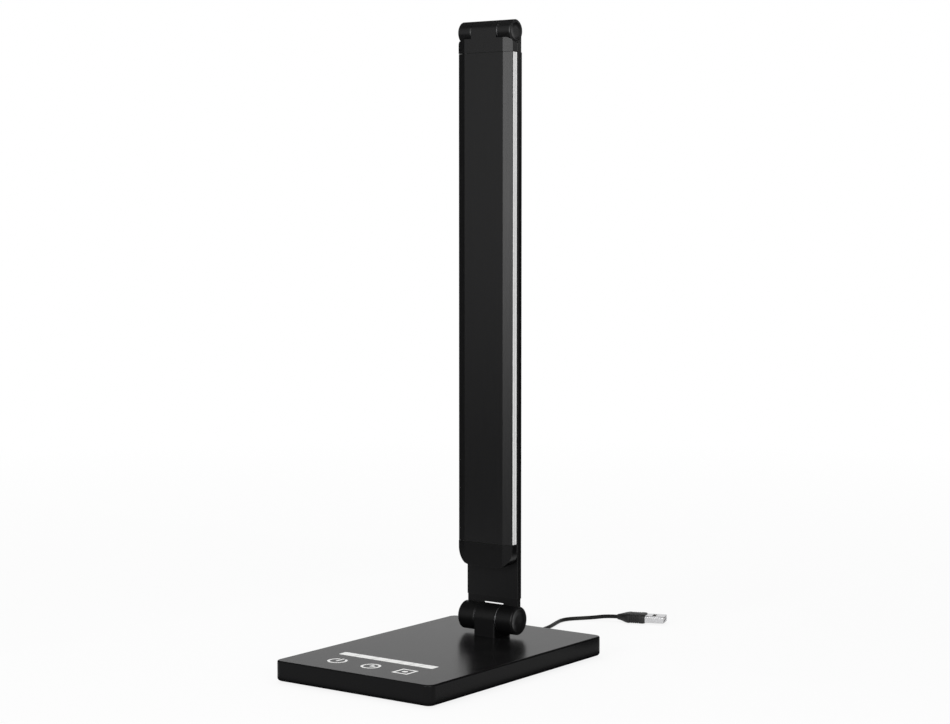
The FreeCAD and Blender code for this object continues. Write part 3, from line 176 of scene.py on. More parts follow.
# a profile of radius and height carried round an axis: radius times cosine, radius times sine, height, then
# the three are put in the order that turns the axis to X, Y or Z
def turned(profile, sides, centre, order):
    outline = np.array(profile)
    angle = np.linspace(0, 2 * np.pi, sides, endpoint=False)
    radius, height = outline[:, :1], outline[:, 1:]
    ring = np.stack([radius * np.cos(angle), radius * np.sin(angle), height + 0 * angle], axis=-1)
    return ring[..., order] + np.array(centre)


# cosine and sine, each raised to two over the power with its sign kept: an ellipse at 2, nearly a rectangle
# at 12
def roundedSquare(angle, power):
    across = np.sign(np.cos(angle)) * np.abs(np.cos(angle)) ** (2 / power)
    upward = np.sign(np.sin(angle)) * np.abs(np.sin(angle)) ** (2 / power)
    return across, upward


# sections along a line: each row gives its place, half width, half height and power, and the section's
# points are the half sizes times a rounded square of that power
def lofted(rows, sides, origin, ahead, aside, above):
    place, wide, high, power = [column[:, None] for column in np.array(rows).T]
    across, upward = roundedSquare(np.linspace(0, 2 * np.pi, sides, endpoint=False), power)
    return (np.array(origin) + place[..., None] * np.array(ahead)
            + (wide * across)[..., None] * np.array(aside) + (high * upward)[..., None] * np.array(above))


def addNode(tree, kind, **settings):
    node = tree.nodes.new(kind)
    for key, value in settings.items():
        setattr(node, key, value)
    return node


def join(tree, source, target):
    tree.links.new(source, target)


def mathNode(tree, operation, first, second=None):
    node = addNode(tree, "ShaderNodeMath", operation=operation)
    for socket, value in zip(node.inputs, (first, second)):
        if isinstance(value, (int, float)):
            socket.default_value = value
        elif value is not None:
            join(tree, value, socket)
    return node.outputs[0]


# low to high as the source goes over its own range; noise keeps mostly within 0.3 to 0.7
def spanValue(tree, source, low, high, fromLow=0.3, fromHigh=0.7):
    node = addNode(tree, "ShaderNodeMapRange")
    node.inputs["From Min"].default_value = fromLow
    node.inputs["From Max"].default_value = fromHigh
    node.inputs["To Min"].default_value = low
    node.inputs["To Max"].default_value = high
    join(tree, source, node.inputs["Value"])
    return node.outputs[0]


# inputs 6 and 7 are the node's two colours, and output 2 is the mixed one
def mixColour(tree, mask, first, second):
    node = addNode(tree, "ShaderNodeMix", data_type="RGBA")
    join(tree, mask, node.inputs["Factor"])
    for socket, value in ((node.inputs[6], first), (node.inputs[7], second)):
        if isinstance(value, tuple):
            socket.default_value = (*value, 1.0)
        else:
            join(tree, value, socket)
    return node.outputs[2]


# X, Y and Z of the piece's own coordinates
def objectParts(tree):
    place = addNode(tree, "ShaderNodeTexCoord")
    parts = addNode(tree, "ShaderNodeSeparateXYZ")
    join(tree, place.outputs["Object"], parts.inputs[0])
    return parts.outputs


def objectNoise(tree, scale):
    place = addNode(tree, "ShaderNodeTexCoord")
    noise = addNode(tree, "ShaderNodeTexNoise")
    join(tree, place.outputs["Object"], noise.inputs["Vector"])
    join(tree, scale, noise.inputs["Scale"])
    return noise


def newGroup(name, inputs, outputs):
    group = bpy.data.node_groups.new(name, "ShaderNodeTree")
    for label, kind, value in inputs:
        socket = group.interface.new_socket(name=label, in_out="INPUT", socket_type=kind)
        socket.default_value = value
    for label in outputs:
        group.interface.new_socket(name=label, in_out="OUTPUT", socket_type="NodeSocketFloat")
    return group, group.nodes.new("NodeGroupInput"), group.nodes.new("NodeGroupOutput")


# grain: coarse noise plus a third of a noise three times finer, on coordinates stretched by Stretch
grainSpec = {"scale": 900.0, "stretch": (1.0, 1.0, 1.0), "detail": 3.0, "finer": 3.1, "fineShare": 0.35}


def makeGrainGroup(spec):
    group, inside, outside = newGroup(
        "surfaceGrain",
        [("Scale", "NodeSocketFloat", spec["scale"]), ("Stretch", "NodeSocketVector", spec["stretch"])],
        ["Height", "Shade"])
    place = addNode(group, "ShaderNodeTexCoord")
    stretch = addNode(group, "ShaderNodeVectorMath", operation="MULTIPLY")
    join(group, place.outputs["Object"], stretch.inputs[0])
    join(group, inside.outputs["Stretch"], stretch.inputs[1])
    coarse = addNode(group, "ShaderNodeTexNoise")
    coarse.inputs["Detail"].default_value = spec["detail"]
    fine = addNode(group, "ShaderNodeTexNoise")
    join(group, stretch.outputs[0], coarse.inputs["Vector"])
    join(group, stretch.outputs[0], fine.inputs["Vector"])
    join(group, inside.outputs["Scale"], coarse.inputs["Scale"])
    join(group, mathNode(group, "MULTIPLY", inside.outputs["Scale"], spec["finer"]), fine.inputs["Scale"])
    detail = mathNode(group, "MULTIPLY", fine.outputs[0], spec["fineShare"])
    join(group, mathNode(group, "ADD", coarse.outputs[0], detail), outside.inputs["Height"])
    join(group, coarse.outputs[0], outside.inputs["Shade"])
    return group


# wear and painted edge highlight: how far the rounded normal leaves the face's own normal, broken up by noise
wearAndHighlightSpec = {"radius": 0.0004, "patch": 220.0, "samples": 6, "gain": 6.0}


def makeWearAndHighlightGroup(spec):
    group, inside, outside = newGroup(
        "edgeWearAndHighlight",
        [("Radius", "NodeSocketFloat", spec["radius"]), ("Patch", "NodeSocketFloat", spec["patch"])],
        ["Mask"])
    rounded = addNode(group, "ShaderNodeBevel", samples=spec["samples"])
    join(group, inside.outputs["Radius"], rounded.inputs["Radius"])
    faceNormal = addNode(group, "ShaderNodeNewGeometry")
    match = addNode(group, "ShaderNodeVectorMath", operation="DOT_PRODUCT")
    join(group, rounded.outputs[0], match.inputs[0])
    join(group, faceNormal.outputs["Normal"], match.inputs[1])
    edge = mathNode(group, "MULTIPLY", mathNode(group, "SUBTRACT", 1.0, match.outputs["Value"]), spec["gain"])
    patch = objectNoise(group, inside.outputs["Patch"])
    limit = addNode(group, "ShaderNodeClamp")
    join(group, mathNode(group, "MULTIPLY", edge, patch.outputs[0]), limit.inputs["Value"])
    join(group, limit.outputs[0], outside.inputs["Mask"])
    return group


# dust: sparse noise peaks on the faces that look up
dustSpec = {"scale": 60.0, "amount": 0.1, "detail": 6.0, "peak": (0.45, 0.75)}


def makeDustGroup(spec):
    group, inside, outside = newGroup(
        "dustFilm",
        [("Scale", "NodeSocketFloat", spec["scale"]), ("Amount", "NodeSocketFloat", spec["amount"])],
        ["Mask"])
    speck = objectNoise(group, inside.outputs["Scale"])
    speck.inputs["Detail"].default_value = spec["detail"]
    peak = spanValue(group, speck.outputs[0], 0.0, 1.0, *spec["peak"])
    facing = addNode(group, "ShaderNodeNewGeometry")
    parts = addNode(group, "ShaderNodeSeparateXYZ")
    join(group, facing.outputs["Normal"], parts.inputs[0])
    settled = mathNode(group, "MULTIPLY", peak, mathNode(group, "MAXIMUM", parts.outputs["Z"], 0.0))
    join(group, mathNode(group, "MULTIPLY", settled, inside.outputs["Amount"]), outside.inputs["Mask"])
    return group


grainGroup = makeGrainGroup(grainSpec)
wearAndHighlightGroup = makeWearAndHighlightGroup(wearAndHighlightSpec)
dustGroup = makeDustGroup(dustSpec)
print("node groups built")


def placeGroup(tree, group, **values):
    node = addNode(tree, "ShaderNodeGroup", node_tree=group)
    for key, value in values.items():
        node.inputs[key].default_value = value
    return node


def newMaterial(name):
    material = bpy.data.materials.new(name)
    material.use_nodes = True
    return material, material.node_tree, material.node_tree.nodes["Principled BSDF"]


# what a look has unless it says otherwise
# the pale grey bare colour of the black finishes is a painted edge highlight as well as wear
plainLook = {"stretch": (1.0, 1.0, 1.0), "specular": 0.5, "metallic": 0.0, "wearAndHighlight": 0.3,
             "bareAndHighlight": (0.09, 0.09, 0.09), "dust": 0.05, "dustColour": (0.35, 0.34, 0.32)}


# one finish: grain gives bump and roughness, wear and a painted edge highlight lighten the edges, dust greys
# what looks up
def grainedFinish(name, ownLook):
    look = {**plainLook, **ownLook}
    material, tree, shader = newMaterial(name)
    grain = placeGroup(tree, grainGroup, Scale=look["grain"], Stretch=look["stretch"])
    wearAndHighlight = placeGroup(tree, wearAndHighlightGroup)
    dust = placeGroup(tree, dustGroup, Amount=look["dust"])
    body = mixColour(tree, grain.outputs["Shade"], look["dark"], look["pale"])
    # edges take the bare colour: wear, and on the black finishes a painted edge highlight
    wearAndHighlightShare = mathNode(tree, "MULTIPLY", wearAndHighlight.outputs["Mask"], look["wearAndHighlight"])
    wornAndHighlighted = mixColour(tree, wearAndHighlightShare, body, look["bareAndHighlight"])
    join(tree, mixColour(tree, dust.outputs["Mask"], wornAndHighlighted, look["dustColour"]), shader.inputs["Base Color"])
    join(tree, spanValue(tree, grain.outputs["Shade"], look["rough"] - look["roughSpan"],
                         look["rough"] + look["roughSpan"]), shader.inputs["Roughness"])
    bump = addNode(tree, "ShaderNodeBump")
    bump.inputs["Strength"].default_value = look["bump"]
    bump.inputs["Distance"].default_value = look["depth"]
    join(tree, grain.outputs["Height"], bump.inputs["Height"])
    join(tree, bump.outputs["Normal"], shader.inputs["Normal"])
    shader.inputs["Specular IOR Level"].default_value = look["specular"]
    shader.inputs["Metallic"].default_value = look["metallic"]
    return material


# looks by finish: colours at the grain's hollows and peaks, grain per metre, roughness and its span, bump
# and its depth in metres
looks = {
    "satinShell": {"dark": (0.0035, 0.0035, 0.0037), "pale": (0.006, 0.006, 0.0063), "grain": 2600.0,
                   "rough": 0.25, "roughSpan": 0.02, "bump": 0.06, "depth": 0.00005, "specular": 0.062,
                   "wearAndHighlight": 0.25, "dust": 0.01},
    "mattMould": {"dark": (0.0026, 0.0026, 0.0028), "pale": (0.0046, 0.0046, 0.0048), "grain": 3200.0,
                  "rough": 0.33, "roughSpan": 0.04, "bump": 0.12, "depth": 0.00006, "specular": 0.12,
                  "wearAndHighlight": 0.2, "dust": 0.02},
    "headCapMould": {"dark": (0.0045, 0.0045, 0.0047), "pale": (0.007, 0.007, 0.0073), "grain": 3200.0,
                     "rough": 0.29, "roughSpan": 0.03, "bump": 0.1, "depth": 0.00005, "specular": 0.2,
                     "wearAndHighlight": 0.1, "dust": 0.02},
    "headExtrusion": {"dark": (0.0045, 0.0045, 0.0047), "pale": (0.007, 0.007, 0.0073), "grain": 1500.0,
                      "stretch": (1.0, 1.0, 0.02), "rough": 0.29, "roughSpan": 0.015, "bump": 0.03,
                      "depth": 0.00003, "specular": 0.2, "wearAndHighlight": 0.1, "dust": 0.01},
    "armExtrusion": {"dark": (0.0038, 0.0038, 0.004), "pale": (0.006, 0.006, 0.0063), "grain": 1500.0,
                     "stretch": (1.0, 1.0, 0.02), "rough": 0.33, "roughSpan": 0.02, "bump": 0.04,
                     "depth": 0.00003, "specular": 0.12, "wearAndHighlight": 0.2, "dust": 0.01},
    "platedSteel": {"dark": (0.40, 0.40, 0.41), "pale": (0.52, 0.52, 0.53), "grain": 900.0,
                    "stretch": (1.0, 0.05, 1.0), "rough": 0.34, "roughSpan": 0.08, "bump": 0.1,
                    "depth": 0.00005, "metallic": 1.0, "wearAndHighlight": 0.1, "bareAndHighlight": (0.7, 0.7, 0.7), "dust": 0.0},
    "blackScrew": {"dark": (0.012, 0.012, 0.012), "pale": (0.03, 0.03, 0.03), "grain": 2000.0, "rough": 0.38,
                   "roughSpan": 0.08, "bump": 0.1, "depth": 0.00005, "specular": 0.4, "wearAndHighlight": 0.5},
    "footRubber": {"dark": (0.014, 0.014, 0.014), "pale": (0.03, 0.03, 0.03), "grain": 2400.0, "rough": 0.75,
                   "roughSpan": 0.08, "bump": 0.35, "depth": 0.0001, "specular": 0.25, "wearAndHighlight": 0.1},
    "cordJacket": {"dark": (0.005, 0.005, 0.005), "pale": (0.009, 0.009, 0.009), "grain": 1800.0,
                   "rough": 0.45, "roughSpan": 0.06, "bump": 0.15, "depth": 0.00008, "specular": 0.12,
                   "wearAndHighlight": 0.0},
    "touchBoard": {"dark": (0.012, 0.09, 0.035), "pale": (0.03, 0.16, 0.07), "grain": 700.0, "rough": 0.35,
                   "roughSpan": 0.06, "bump": 0.1, "depth": 0.00005, "wearAndHighlight": 0.1, "bareAndHighlight": (0.55, 0.5, 0.3)},
    "ledBoard": {"dark": (0.78, 0.78, 0.77), "pale": (0.88, 0.88, 0.87), "grain": 900.0, "rough": 0.4,
                 "roughSpan": 0.05, "bump": 0.08, "depth": 0.00005, "wearAndHighlight": 0.1, "bareAndHighlight": (0.6, 0.6, 0.6)},
    "thermalTape": {"dark": (0.5, 0.5, 0.49), "pale": (0.64, 0.64, 0.62), "grain": 1200.0, "rough": 0.7,
                    "roughSpan": 0.08, "bump": 0.2, "depth": 0.00005, "wearAndHighlight": 0.0},
    "phosphor": {"dark": (0.72, 0.58, 0.16), "pale": (0.86, 0.74, 0.28), "grain": 3000.0, "rough": 0.45,
                 "roughSpan": 0.05, "bump": 0.1, "depth": 0.00003, "wearAndHighlight": 0.0},
    "plugInsulator": {"dark": (0.74, 0.74, 0.73), "pale": (0.84, 0.84, 0.83), "grain": 2000.0, "rough": 0.45,
                      "roughSpan": 0.05, "bump": 0.1, "depth": 0.00004, "wearAndHighlight": 0.0},
    "lightWindow": {"dark": (0.84, 0.84, 0.83), "pale": (0.9, 0.9, 0.89), "grain": 2600.0, "rough": 0.35,
                    "roughSpan": 0.03, "bump": 0.05, "depth": 0.00003, "wearAndHighlight": 0.0, "dust": 0.0},
    "tieStrap": {"dark": (0.008, 0.008, 0.008), "pale": (0.02, 0.02, 0.02), "grain": 1200.0,
                 "stretch": (1.0, 3.0, 1.0), "rough": 0.8, "roughSpan": 0.1, "bump": 0.6, "depth": 0.0002,
                 "specular": 0.15, "wearAndHighlight": 0.1},
    "plugGripRubber": {"dark": (0.010, 0.010, 0.010), "pale": (0.016, 0.016, 0.016), "grain": 2600.0,
                       "rough": 0.5, "roughSpan": 0.06, "bump": 0.2, "depth": 0.0001, "specular": 0.25,
                       "wearAndHighlight": 0.3},
    "plugShellPlate": {"dark": (0.52, 0.52, 0.53), "pale": (0.62, 0.62, 0.63), "grain": 1100.0,
                       "stretch": (0.2, 1.0, 1.0), "rough": 0.26, "roughSpan": 0.06, "bump": 0.05,
                       "depth": 0.00004, "metallic": 1.0, "wearAndHighlight": 0.1, "bareAndHighlight": (0.75, 0.75, 0.75),
                       "dust": 0.0},
    "contactPlate": {"dark": (0.62, 0.42, 0.12), "pale": (0.74, 0.53, 0.2), "grain": 1500.0, "rough": 0.3,
                     "roughSpan": 0.05, "bump": 0.05, "depth": 0.00003, "metallic": 1.0, "wearAndHighlight": 0.0,
                     "dust": 0.0},
}
finishes = {name: grainedFinish(name, look) for name, look in looks.items()}

# slider window: faint grey lines across it, at the places along X where the photograph has them
sliderSpec = {"lines": (-0.0270, -0.0135, -0.0038, 0.0060, 0.0145, 0.0215), "reach": 0.0013,
              "line": (0.62, 0.62, 0.61), "white": (0.88, 0.88, 0.87)}


# the mask is 1 on a line and falls straight to 0 at its reach, on the distance to the nearest line along X
def makeSliderFinish(spec):
    material = grainedFinish("sliderWindow", looks["lightWindow"])
    tree = material.node_tree
    across = objectParts(tree)["X"]
    nearest = None
    for line in spec["lines"]:
        away = mathNode(tree, "ABSOLUTE", mathNode(tree, "SUBTRACT", across, line))
        nearest = away if nearest is None else mathNode(tree, "MINIMUM", nearest, away)
    mask = spanValue(tree, nearest, 1.0, 0.0, 0.0, spec["reach"])
    shader = tree.nodes["Principled BSDF"]
    join(tree, mixColour(tree, mask, spec["white"], spec["line"]), shader.inputs["Base Color"])
    return material


# opal tray: its side walls are a little greyer along the middle, as in the photograph, a painted shadow line;
# its broad face, which the photograph doesn't show, is greyer, painted shade so that it doesn't wash out to
# white under the key light
traySpec = {"look": {"dark": (0.80, 0.80, 0.795), "pale": (0.86, 0.86, 0.855), "grain": 1400.0, "rough": 0.38,
                     "roughSpan": 0.02, "bump": 0.02, "depth": 0.00005, "wearAndHighlight": 0.0, "dust": 0.0},
            "middle": 0.0470, "reach": 0.0011, "shadowLineGrey": (0.62, 0.62, 0.615), "white": (0.84, 0.84, 0.835),
            "faceRim": (0.0182, 0.0192), "face": (0.60, 0.60, 0.59)}


# the painted shadow line's mask is 1 on the middle line and falls straight to 0 at its reach, on the distance
# along
# Y; the face, where the painted shade goes, is where the distance from the middle along X is less than the
# rim's
def makeTrayFinish(spec):
    material = grainedFinish("opalDiffuser", spec["look"])
    tree = material.node_tree
    parts = objectParts(tree)
    away = mathNode(tree, "ABSOLUTE", mathNode(tree, "SUBTRACT", parts["Y"], spec["middle"]))
    mask = spanValue(tree, away, 1.0, 0.0, 0.0, spec["reach"])
    # painted shadow line along the middle of the side walls
    wall = mixColour(tree, mask, spec["white"], spec["shadowLineGrey"])
    face = spanValue(tree, mathNode(tree, "ABSOLUTE", parts["X"]), 1.0, 0.0, *spec["faceRim"])
    shader = tree.nodes["Principled BSDF"]
    # painted shade: the broad face is greyer than the walls
    join(tree, mixColour(tree, face, wall, spec["face"]), shader.inputs["Base Color"])
    return material


finishes["sliderWindow"] = makeSliderFinish(sliderSpec)
finishes["opalDiffuser"] = makeTrayFinish(traySpec)

# strain relief: a flange inside the wall, a neck through it and a ribbed boot that narrows to the cord
bootSpec = {"x": -0.0310, "z": 0.0085, "inside": 0.0852, "wall": (0.0865, 0.0889), "tip": 0.1009,
            "flange": (0.0040, 0.0023), "flangePower": 8, "flangeEase": 0.0003,
            "flangeBevel": (0.0001, 0.0002),
            "neck": 0.0025, "root": 0.0032, "end": 0.0019, "tipRound": (0.0002, 0.0003),
            "ribs": 6, "groove": 0.0004, "ribMargin": 0.08, "ribFade": 0.04, "ribFlat": 1.8, "rings": 73,
            "sides": 40}


# boot radius runs straight from root to end, less the groove depth where a flattened cosine is low; the
# grooves fade out at a margin before each end
def makeBoot(spec):
    share = np.linspace(0, 1, spec["rings"])
    margin, fade = spec["ribMargin"], spec["ribFade"]
    ribbed = np.clip((share - margin) / fade, 0, 1) * np.clip((1 - margin - share) / fade, 0, 1)
    swing = np.cos(2 * np.pi * spec["ribs"] * (share - margin) / (1 - 2 * margin))
    wave = np.clip(spec["ribFlat"] * swing, -1, 1)
    taper = spec["root"] + (spec["end"] - spec["root"]) * share
    radius = taper - ribbed * spec["groove"] * (0.5 - 0.5 * wave)
    inner, outer = spec["wall"]
    along = outer + (spec["tip"] - outer) * share
    wide, high = spec["flange"]
    back, ease, neck, power = spec["inside"], spec["flangeEase"], spec["neck"], spec["flangePower"]
    run, drop = spec["flangeBevel"]
    flange = [(back, 0, 0, power), (back, wide - ease, high - ease, power), (back + ease, wide, high, power),
              (inner - run, wide, high, power), (inner, wide - drop, high - drop, power),
              (inner, neck, neck, 2), (outer, neck, neck, 2)]
    sleeve = np.column_stack([along, radius, radius, np.full(len(share), 2.0)])
    beyond, shrink = spec["tipRound"]
    tip, end = spec["tip"] + beyond, spec["end"] - shrink
    rows = np.concatenate([flange, sleeve, [(tip, end, end, 2), (tip, 0, 0, 2)]])
    grid = lofted(rows, spec["sides"], (spec["x"], 0, spec["z"]), (0, 1, 0), (1, 0, 0), (0, 0, 1))
    return addPiece("strainRelief", ringMesh("strainRelief", grid), finishes["cordJacket"], "base",
                    ["cord_gland"])


# feet: discs with an eased edge and a hollowed middle
footSpec = {"x": 0.0456, "y": 0.0759, "sides": 64,
            "profile": [(0, 0.0003), (0.0030, 0.0003), (0.0034, 0.0001), (0.0037, 0), (0.0052, 0),
                        (0.0057, 0.0002), (0.0060, 0.0006), (0.0060, 0.0016), (0, 0.0016)]}


# the profile turned about Z at each corner
def makeFeet(spec):
    pads = [turned(spec["profile"], spec["sides"], (x, y, 0), [0, 1, 2])
            for x in (-spec["x"], spec["x"]) for y in (-spec["y"], spec["y"])]
    addPiece("padFeet", ringMesh("padFeet", *pads), finishes["footRubber"], "base",
             ["rubber_feet"])


# screws: a flat head with a cross recess, and a shank with a rolled thread
screwForm = {"sides": 72, "faceRings": 19, "rim": 0.0003, "slotEase": 0.00012, "edge": (0.00008, 0.00003),
             "crown": 0.0002, "threadDip": 0.08, "ringsPerThread": 4}
coverScrewSpec = {"x": 0.0496, "y": 0.0549, "z": 0.0008, "head": 0.0027, "headHeight": 0.0011,
                  "shank": 0.00145, "length": 0.0070, "slot": 0.0007, "reach": 0.0017, "sink": 0.0008,
                  "threads": 9}
armScrewSpec = {"x": 0.0110, "y": 0.0555, "heights": (0.0444, 0.36925), "head": 0.0018, "headHeight": 0.0009,
                "shank": 0.00095, "length": 0.0028, "slot": 0.0005, "reach": 0.0012, "sink": 0.0005,
                "threads": 4}


# the face sinks where a point is within half a slot's width of an arm of the cross and inside its reach, both
# eased; below the head the radius swings between shank and root once a thread
def screwGrid(spec, form):
    angle = np.linspace(0, 2 * np.pi, form["sides"], endpoint=False)
    faceRadius = np.linspace(0, spec["head"] - form["rim"], form["faceRings"])
    x, y = faceRadius[:, None] * np.cos(angle), faceRadius[:, None] * np.sin(angle)
    ease = form["slotEase"]
    inSlot = np.clip((spec["slot"] / 2 - np.minimum(np.abs(x), np.abs(y))) / ease + 0.5, 0, 1)
    inReach = np.clip((spec["reach"] - np.maximum(np.abs(x), np.abs(y))) / ease, 0, 1)
    faceHeight = spec["sink"] * inSlot * inReach
    turn = np.linspace(0, 1, spec["threads"] * form["ringsPerThread"] + 1)
    dip = form["threadDip"]
    threadRadius = spec["shank"] * (1 - dip + dip * np.cos(2 * np.pi * spec["threads"] * turn))
    threadHeight = spec["headHeight"] + (spec["length"] - spec["headHeight"] - spec["shank"]) * turn
    edgeIn, edgeDown = form["edge"]
    sideRadius = np.concatenate([[spec["head"] - edgeIn, spec["head"], spec["head"]], threadRadius, [0]])
    sideHeight = np.concatenate([[edgeDown, form["crown"], spec["headHeight"]], threadHeight,
                                 [spec["length"]]])
    radius = np.concatenate([faceRadius, sideRadius])[:, None]
    height = np.concatenate([faceHeight, np.repeat(sideHeight[:, None], form["sides"], axis=1)])
    return np.stack([radius * np.cos(angle), radius * np.sin(angle), height], axis=-1)


# the cover's screws stand upright with their heads below, and the bracket's lie along Y with their heads
# behind
def makeScrews(form, cover, arm):
    upright = screwGrid(cover, form)
    level = screwGrid(arm, form)[..., [0, 2, 1]] * (1, -1, 1)
    under = [upright + (x, y, cover["z"])
             for x in (-cover["x"], cover["x"]) for y in (-cover["y"], cover["y"])]
    behind = [level + (x, arm["y"], z) for x in (-arm["x"], arm["x"]) for z in arm["heights"]]
    addPiece("coverScrews", ringMesh("coverScrews", *under), finishes["platedSteel"], "base",
             ["base_screws"])
    addPiece("bracketScrews", ringMesh("bracketScrews", *behind), finishes["blackScrew"], "arm",
             ["arm_screws"])


# hinge caps: thin discs with an eased rim, a raised ring and a slightly sunk middle
capForm = {"ease": 0.0003, "easeMiddle": 0.00009, "ring": 0.0011, "step": (0.0013, 0.00012), "dishShare": 0.4,
           "dish": 0.00015, "centre": 0.00016, "sides": 96}
capSpec = {"lower": {"end": 0.0205, "radius": 0.0081, "thick": 0.0015, "y": 0.0513, "z": 0.0238},
           "upper": {"end": 0.0197, "radius": 0.00615, "thick": 0.0013, "y": 0.0487, "z": 0.38925}}


# each outline runs from the back's centre over the rim to the sunk middle, and is turned about X at both ends
def makeCaps(form, specs):
    for level, spec in specs.items():
        rim, thick = spec["radius"], spec["thick"]
        ease, corner = form["ease"], form["easeMiddle"]
        stepIn, stepDown = form["step"]
        outline = np.array([(0, 0), (rim, 0), (rim, thick - ease), (rim - corner, thick - corner),
                            (rim - ease, thick), (rim - form["ring"], thick),
                            (rim - stepIn, thick - stepDown),
                            (rim * form["dishShare"], thick - form["dish"]), (0, thick - form["centre"])])
        for side, way in (("left", -1), ("right", 1)):
            placed = np.column_stack([outline[:, 0], way * (spec["end"] - thick + outline[:, 1])])
            grid = turned(placed, form["sides"], (0, spec["y"], spec["z"]), [2, 0, 1])
            name = level + side.capitalize() + "Cap"
            addPiece(name, ringMesh(name, grid), finishes["headCapMould"], "arm",
                     [level + "_cap_" + side])


# tie: a strap round the coil's far side, thicker where its end is pressed onto itself
tieSpec = {"x": -0.0636, "y": 0.1199, "z": 0.00695, "halfWide": 0.0069, "halfHigh": 0.0061, "loopPower": 9,
           "loopPoints": 160, "strap": 0.0060, "thick": 0.0008, "strapPower": 5, "strapPoints": 24,
           "lap": 0.0005, "lapRun": (0.4, 2.6), "lapFade": 0.05, "sharpAngle": 60.0}


# the loop is a rounded rectangle in the XZ plane; each point moves out along the loop's normal by the
# strap's own rounded section, whose outer face rises where the lap lies
def makeTie(spec):
    turn = np.linspace(0, 2 * np.pi, spec["loopPoints"], endpoint=False)
    loop = np.stack(roundedSquare(turn, spec["loopPower"]), axis=1) * (spec["halfWide"], spec["halfHigh"])
    run = np.roll(loop, -1, axis=0) - np.roll(loop, 1, axis=0)
    normal = np.stack([run[:, 1], -run[:, 0]], axis=1) / np.linalg.norm(run, axis=1)[:, None]
    (lapStart, lapEnd), fade = spec["lapRun"], spec["lapFade"]
    lap = np.clip((turn - lapStart) / fade, 0, 1) * np.clip((lapEnd - turn) / fade, 0, 1)
    around = np.linspace(0, 2 * np.pi, spec["strapPoints"], endpoint=False)
    across, out = roundedSquare(around, spec["strapPower"])
    rise = spec["thick"] / 2 * out[None, :] + spec["lap"] * lap[:, None] * (out > 0)
    grid = np.stack([spec["x"] + loop[:, :1] + normal[:, :1] * rise,
                     spec["y"] + spec["strap"] / 2 * across + 0 * rise,
                     spec["z"] + loop[:, 1:] + normal[:, 1:] * rise], axis=-1)
    mesh = buildMesh("cordTie", [(grid, True, True, None)], spec["sharpAngle"])
    return addPiece("cordTie", mesh, finishes["tieStrap"], "base", ["cord_tie"])


# plug: a moulded grip that swells from the cord, a pressed shell with latch windows, and contacts on the
# tongue
plugSpec = {"origin": (0.0044, 0.1910, 0.0032), "ahead": (0.9374, 0.3482, 0.0),
            "aside": (-0.3482, 0.9374, 0.0), "above": (0.0, 0.0, 1.0),
            "grip": [(0, 0, 0, 2), (0, 0.0014, 0.0014, 2), (0.0003, 0.0019, 0.0018, 2),
                     (0.0018, 0.0022, 0.0021, 2.2), (0.0038, 0.0032, 0.0026, 2.6),
                     (0.0056, 0.0049, 0.0030, 3.2), (0.0070, 0.0060, 0.00315, 4),
                     (0.0082, 0.0065, 0.0032, 5)],
            "gripHalf": (0.0065, 0.0032), "gripPower": 5.0, "gripSides": 72,
            "ribs": (0.0092, 0.0164), "ribCount": 5, "ribRings": 61, "ribFlat": 2.0, "groove": 0.0004,
            "gripEnd": [(0.0186, 0.0065, 0.0032, 5), (0.0196, 0.0063, 0.0030, 5), (0.0200, 0.0059, 0.0026, 5),
                        (0.0200, 0, 0, 5)],
            "shell": (0.0200, 0.0330), "shellHalf": (0.0060, 0.00225), "shellPower": 12.0, "shellRings": 40,
            "shellSides": 160, "shellWall": 0.0004,
            "window": (0.0246, 0.0270), "windowAside": 0.0023, "windowHalf": 0.0011, "flatShare": 0.9,
            "tongue": (0.0200, 0.0320), "tongueHalf": (0.0056, 0.0009), "tongueDrop": -0.00095,
            "tongueEase": (0.0006, 0.0004, 0.0005), "tonguePower": 9, "tongueSides": 48,
            "contacts": (-0.0035, -0.0010, 0.0010, 0.0035), "contactRun": (0.0236, 0.0316),
            "contactHalf": (0.0005, 0.00006), "contactPower": 6, "contactSides": 16}


# rounded squares lofted along the plug's axis; between the grip's ribs both half sizes dip by the groove
# where a flattened cosine is low
def makeGrip(spec, axes):
    share = np.linspace(0, 1, spec["ribRings"])
    wave = np.clip(spec["ribFlat"] * np.cos(2 * np.pi * spec["ribCount"] * share), -1, 1)
    dip = spec["groove"] * (0.5 - 0.5 * wave)
    start, end = spec["ribs"]
    wide, high = spec["gripHalf"]
    ribs = np.column_stack([start + (end - start) * share, wide - dip, high - dip,
                            np.full(len(share), spec["gripPower"])])
    rows = np.concatenate([spec["grip"], ribs, spec["gripEnd"]])
    grid = lofted(rows, spec["gripSides"], spec["origin"], *axes)
    return addPiece("plugGrip", ringMesh("plugGrip", grid), finishes["plugGripRubber"], "base",
                    ["usb_plug_grip"])


# a sleeve of one section, without the quads whose centres are inside a latch window on the flat sides,
# thickened inwards
def makeShell(spec, axes):
    wide, high = spec["shellHalf"]
    along = np.linspace(*spec["shell"], spec["shellRings"])
    rows = np.column_stack([along, np.tile((wide, high, spec["shellPower"]), (len(along), 1))])
    sleeve = lofted(rows, spec["shellSides"], spec["origin"], *axes)

    def outsideWindows(centres):
        along, aside, above = ((centres - np.array(spec["origin"])) @ np.array(axes).T).T
        inRun = (along > spec["window"][0]) & (along < spec["window"][1])
        inWidth = np.abs(np.abs(aside) - spec["windowAside"]) < spec["windowHalf"]
        return ~(inRun & inWidth & (np.abs(above) > high * spec["flatShare"]))

    mesh = buildMesh("plugShell", [(sleeve, False, True, outsideWindows)])
    piece = addPiece("plugShell", mesh, finishes["plugShellPlate"], "base", ["usb_plug_shell"])
    wall = piece.modifiers.new("wall", "SOLIDIFY")
    wall.thickness = spec["shellWall"]
    wall.offset = -1.0
    return piece


